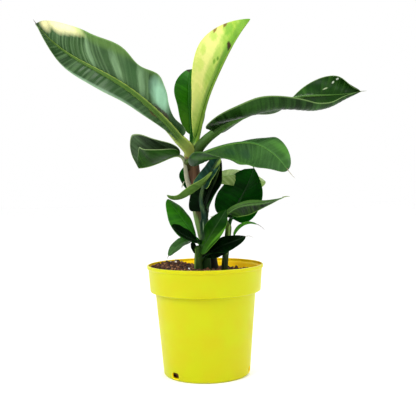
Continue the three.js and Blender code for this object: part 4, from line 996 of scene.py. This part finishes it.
def threadChunk(leaf, paint):
    # the withered tip: a thin limb that starts where the blade ends and bends to its own rise and heading
    length, rise, heading, thick, _ = leaf["thread"]
    whole = leaf["stalk"] + leaf["blade"]
    foot = limbPoints(leaf, whole, np.array([ribEnd]))[0]
    limb = dict(foot=foot, rise=[leaf["rise"][-1], rise], heading=[leaf["heading"][-1], heading])
    t = np.linspace(0, 1, 14)
    radius = thick * (1 + 0.25 * np.sin(t * 23 + length)) * (1 - 0.75 * t)
    path = limbPoints(limb, length + 0.02 * whole, t)
    return tubeChunk(path, radius, np.array([[0, -1.0, 0.2]]), 8, paint)


def makeScraps():
    # withered leaf tips, and papery scraps of old sheath caught between the stems
    tips = {name: leaf for name, leaf in leaves.items() if leaf["thread"]}
    chunks = [threadChunk(leaf, k) for k, leaf in enumerate(tips.values())]
    dry = [plainSolid(f"withered leaf tip, {name}", leaf["thread"][4], 0.85) for name, leaf in tips.items()]
    makePiece("witheredTips", chunks, dry)
    chunks = []
    for centre, reach, bend in scraps["strips"]:
        s = np.linspace(-1, 1, 9)[:, None]
        path = np.array(centre) + np.array(reach) * s + np.array(bend) * (1 - s**2)
        radius = scraps["thick"] * (1 - 0.8 * s[:, 0] ** 2)
        chunks.append(tubeChunk(path, radius, np.array([[0, -1.0, 0.3]]), 8))
    makePiece("sheathScraps", chunks, [plainSolid("dry leaf sheath, papery", scraps["colour"], 0.9)])


for name, leaf in leaves.items():
    makeBlade(name, leaf)
    replaced = [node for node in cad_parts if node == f"stalk_{name}"]
    makePiece(f"rib_{name}", [stalkChunk(leaf)], [stalkMaterial(name, leaf)], replaced)
makeScraps()
print("leaves made")


# Daylight studio: a wide soft key from the upper left front, a weaker fill and a light from behind. Each
# light has its place, width and power. The camera sits at seat, tipped down and rolled by radians.
studio = dict(
    floor="#ffffff", world=1.0, lens=60, seat=(4.06, -717.2, 195.2), pitch=0.0335, roll=-0.0184,
    lights=[("key", (-650, -700, 900), 500, 9), ("fill", (800, -500, 500), 700, 3),
            ("rim", (200, 700, 800), 500, 4)])


def makeStudio():
    # floor of 12 m, an even white sky, disc lamps that face the plant's middle, and the camera
    mesh = bpy.data.meshes.new("studioFloor")
    mesh.from_pydata([(-6, -6, 0), (6, -6, 0), (6, 6, 0), (-6, 6, 0)], [], [(0, 1, 2, 3)])
    # matt white paper: even and pale, so that the plant's own shadow is all that falls on it
    paper, _, _ = newMaterial("matt white paper", Base_Color=srgb(studio["floor"]), Roughness=0.9)
    mesh.materials.append(paper)
    newObject("studioFloor", mesh)
    world = bpy.data.worlds.new("studio")
    bpy.context.scene.world = world
    world.use_nodes = True
    fill(world.node_tree, world.node_tree.nodes["Background"],
         {"Color": (1, 1, 1, 1), "Strength": studio["world"]})
    for name, seat, size, power in studio["lights"]:
        lamp = bpy.data.lights.new(name, "AREA")
        lamp.shape, lamp.size, lamp.energy = "DISK", size * mm, power
        light = newObject(name, lamp)
        light.location = np.array(seat) * mm
        aim = Vector([0, 0, 0.18]) - light.location
        light.rotation_euler = aim.to_track_quat("-Z", "Y").to_euler()
    camera = newObject("camera", bpy.data.cameras.new("camera"))
    camera.data.lens = studio["lens"]
    camera.matrix_world = (
        Matrix.Translation(np.array(studio["seat"]) * mm)
        @ Matrix.Rotation(math.pi / 2 - studio["pitch"], 4, "X") @ Matrix.Rotation(studio["roll"], 4, "Z"))
    bpy.context.scene.camera = camera
    bpy.context.scene.view_settings.view_transform = "Standard"


makeStudio()
print("studio made")
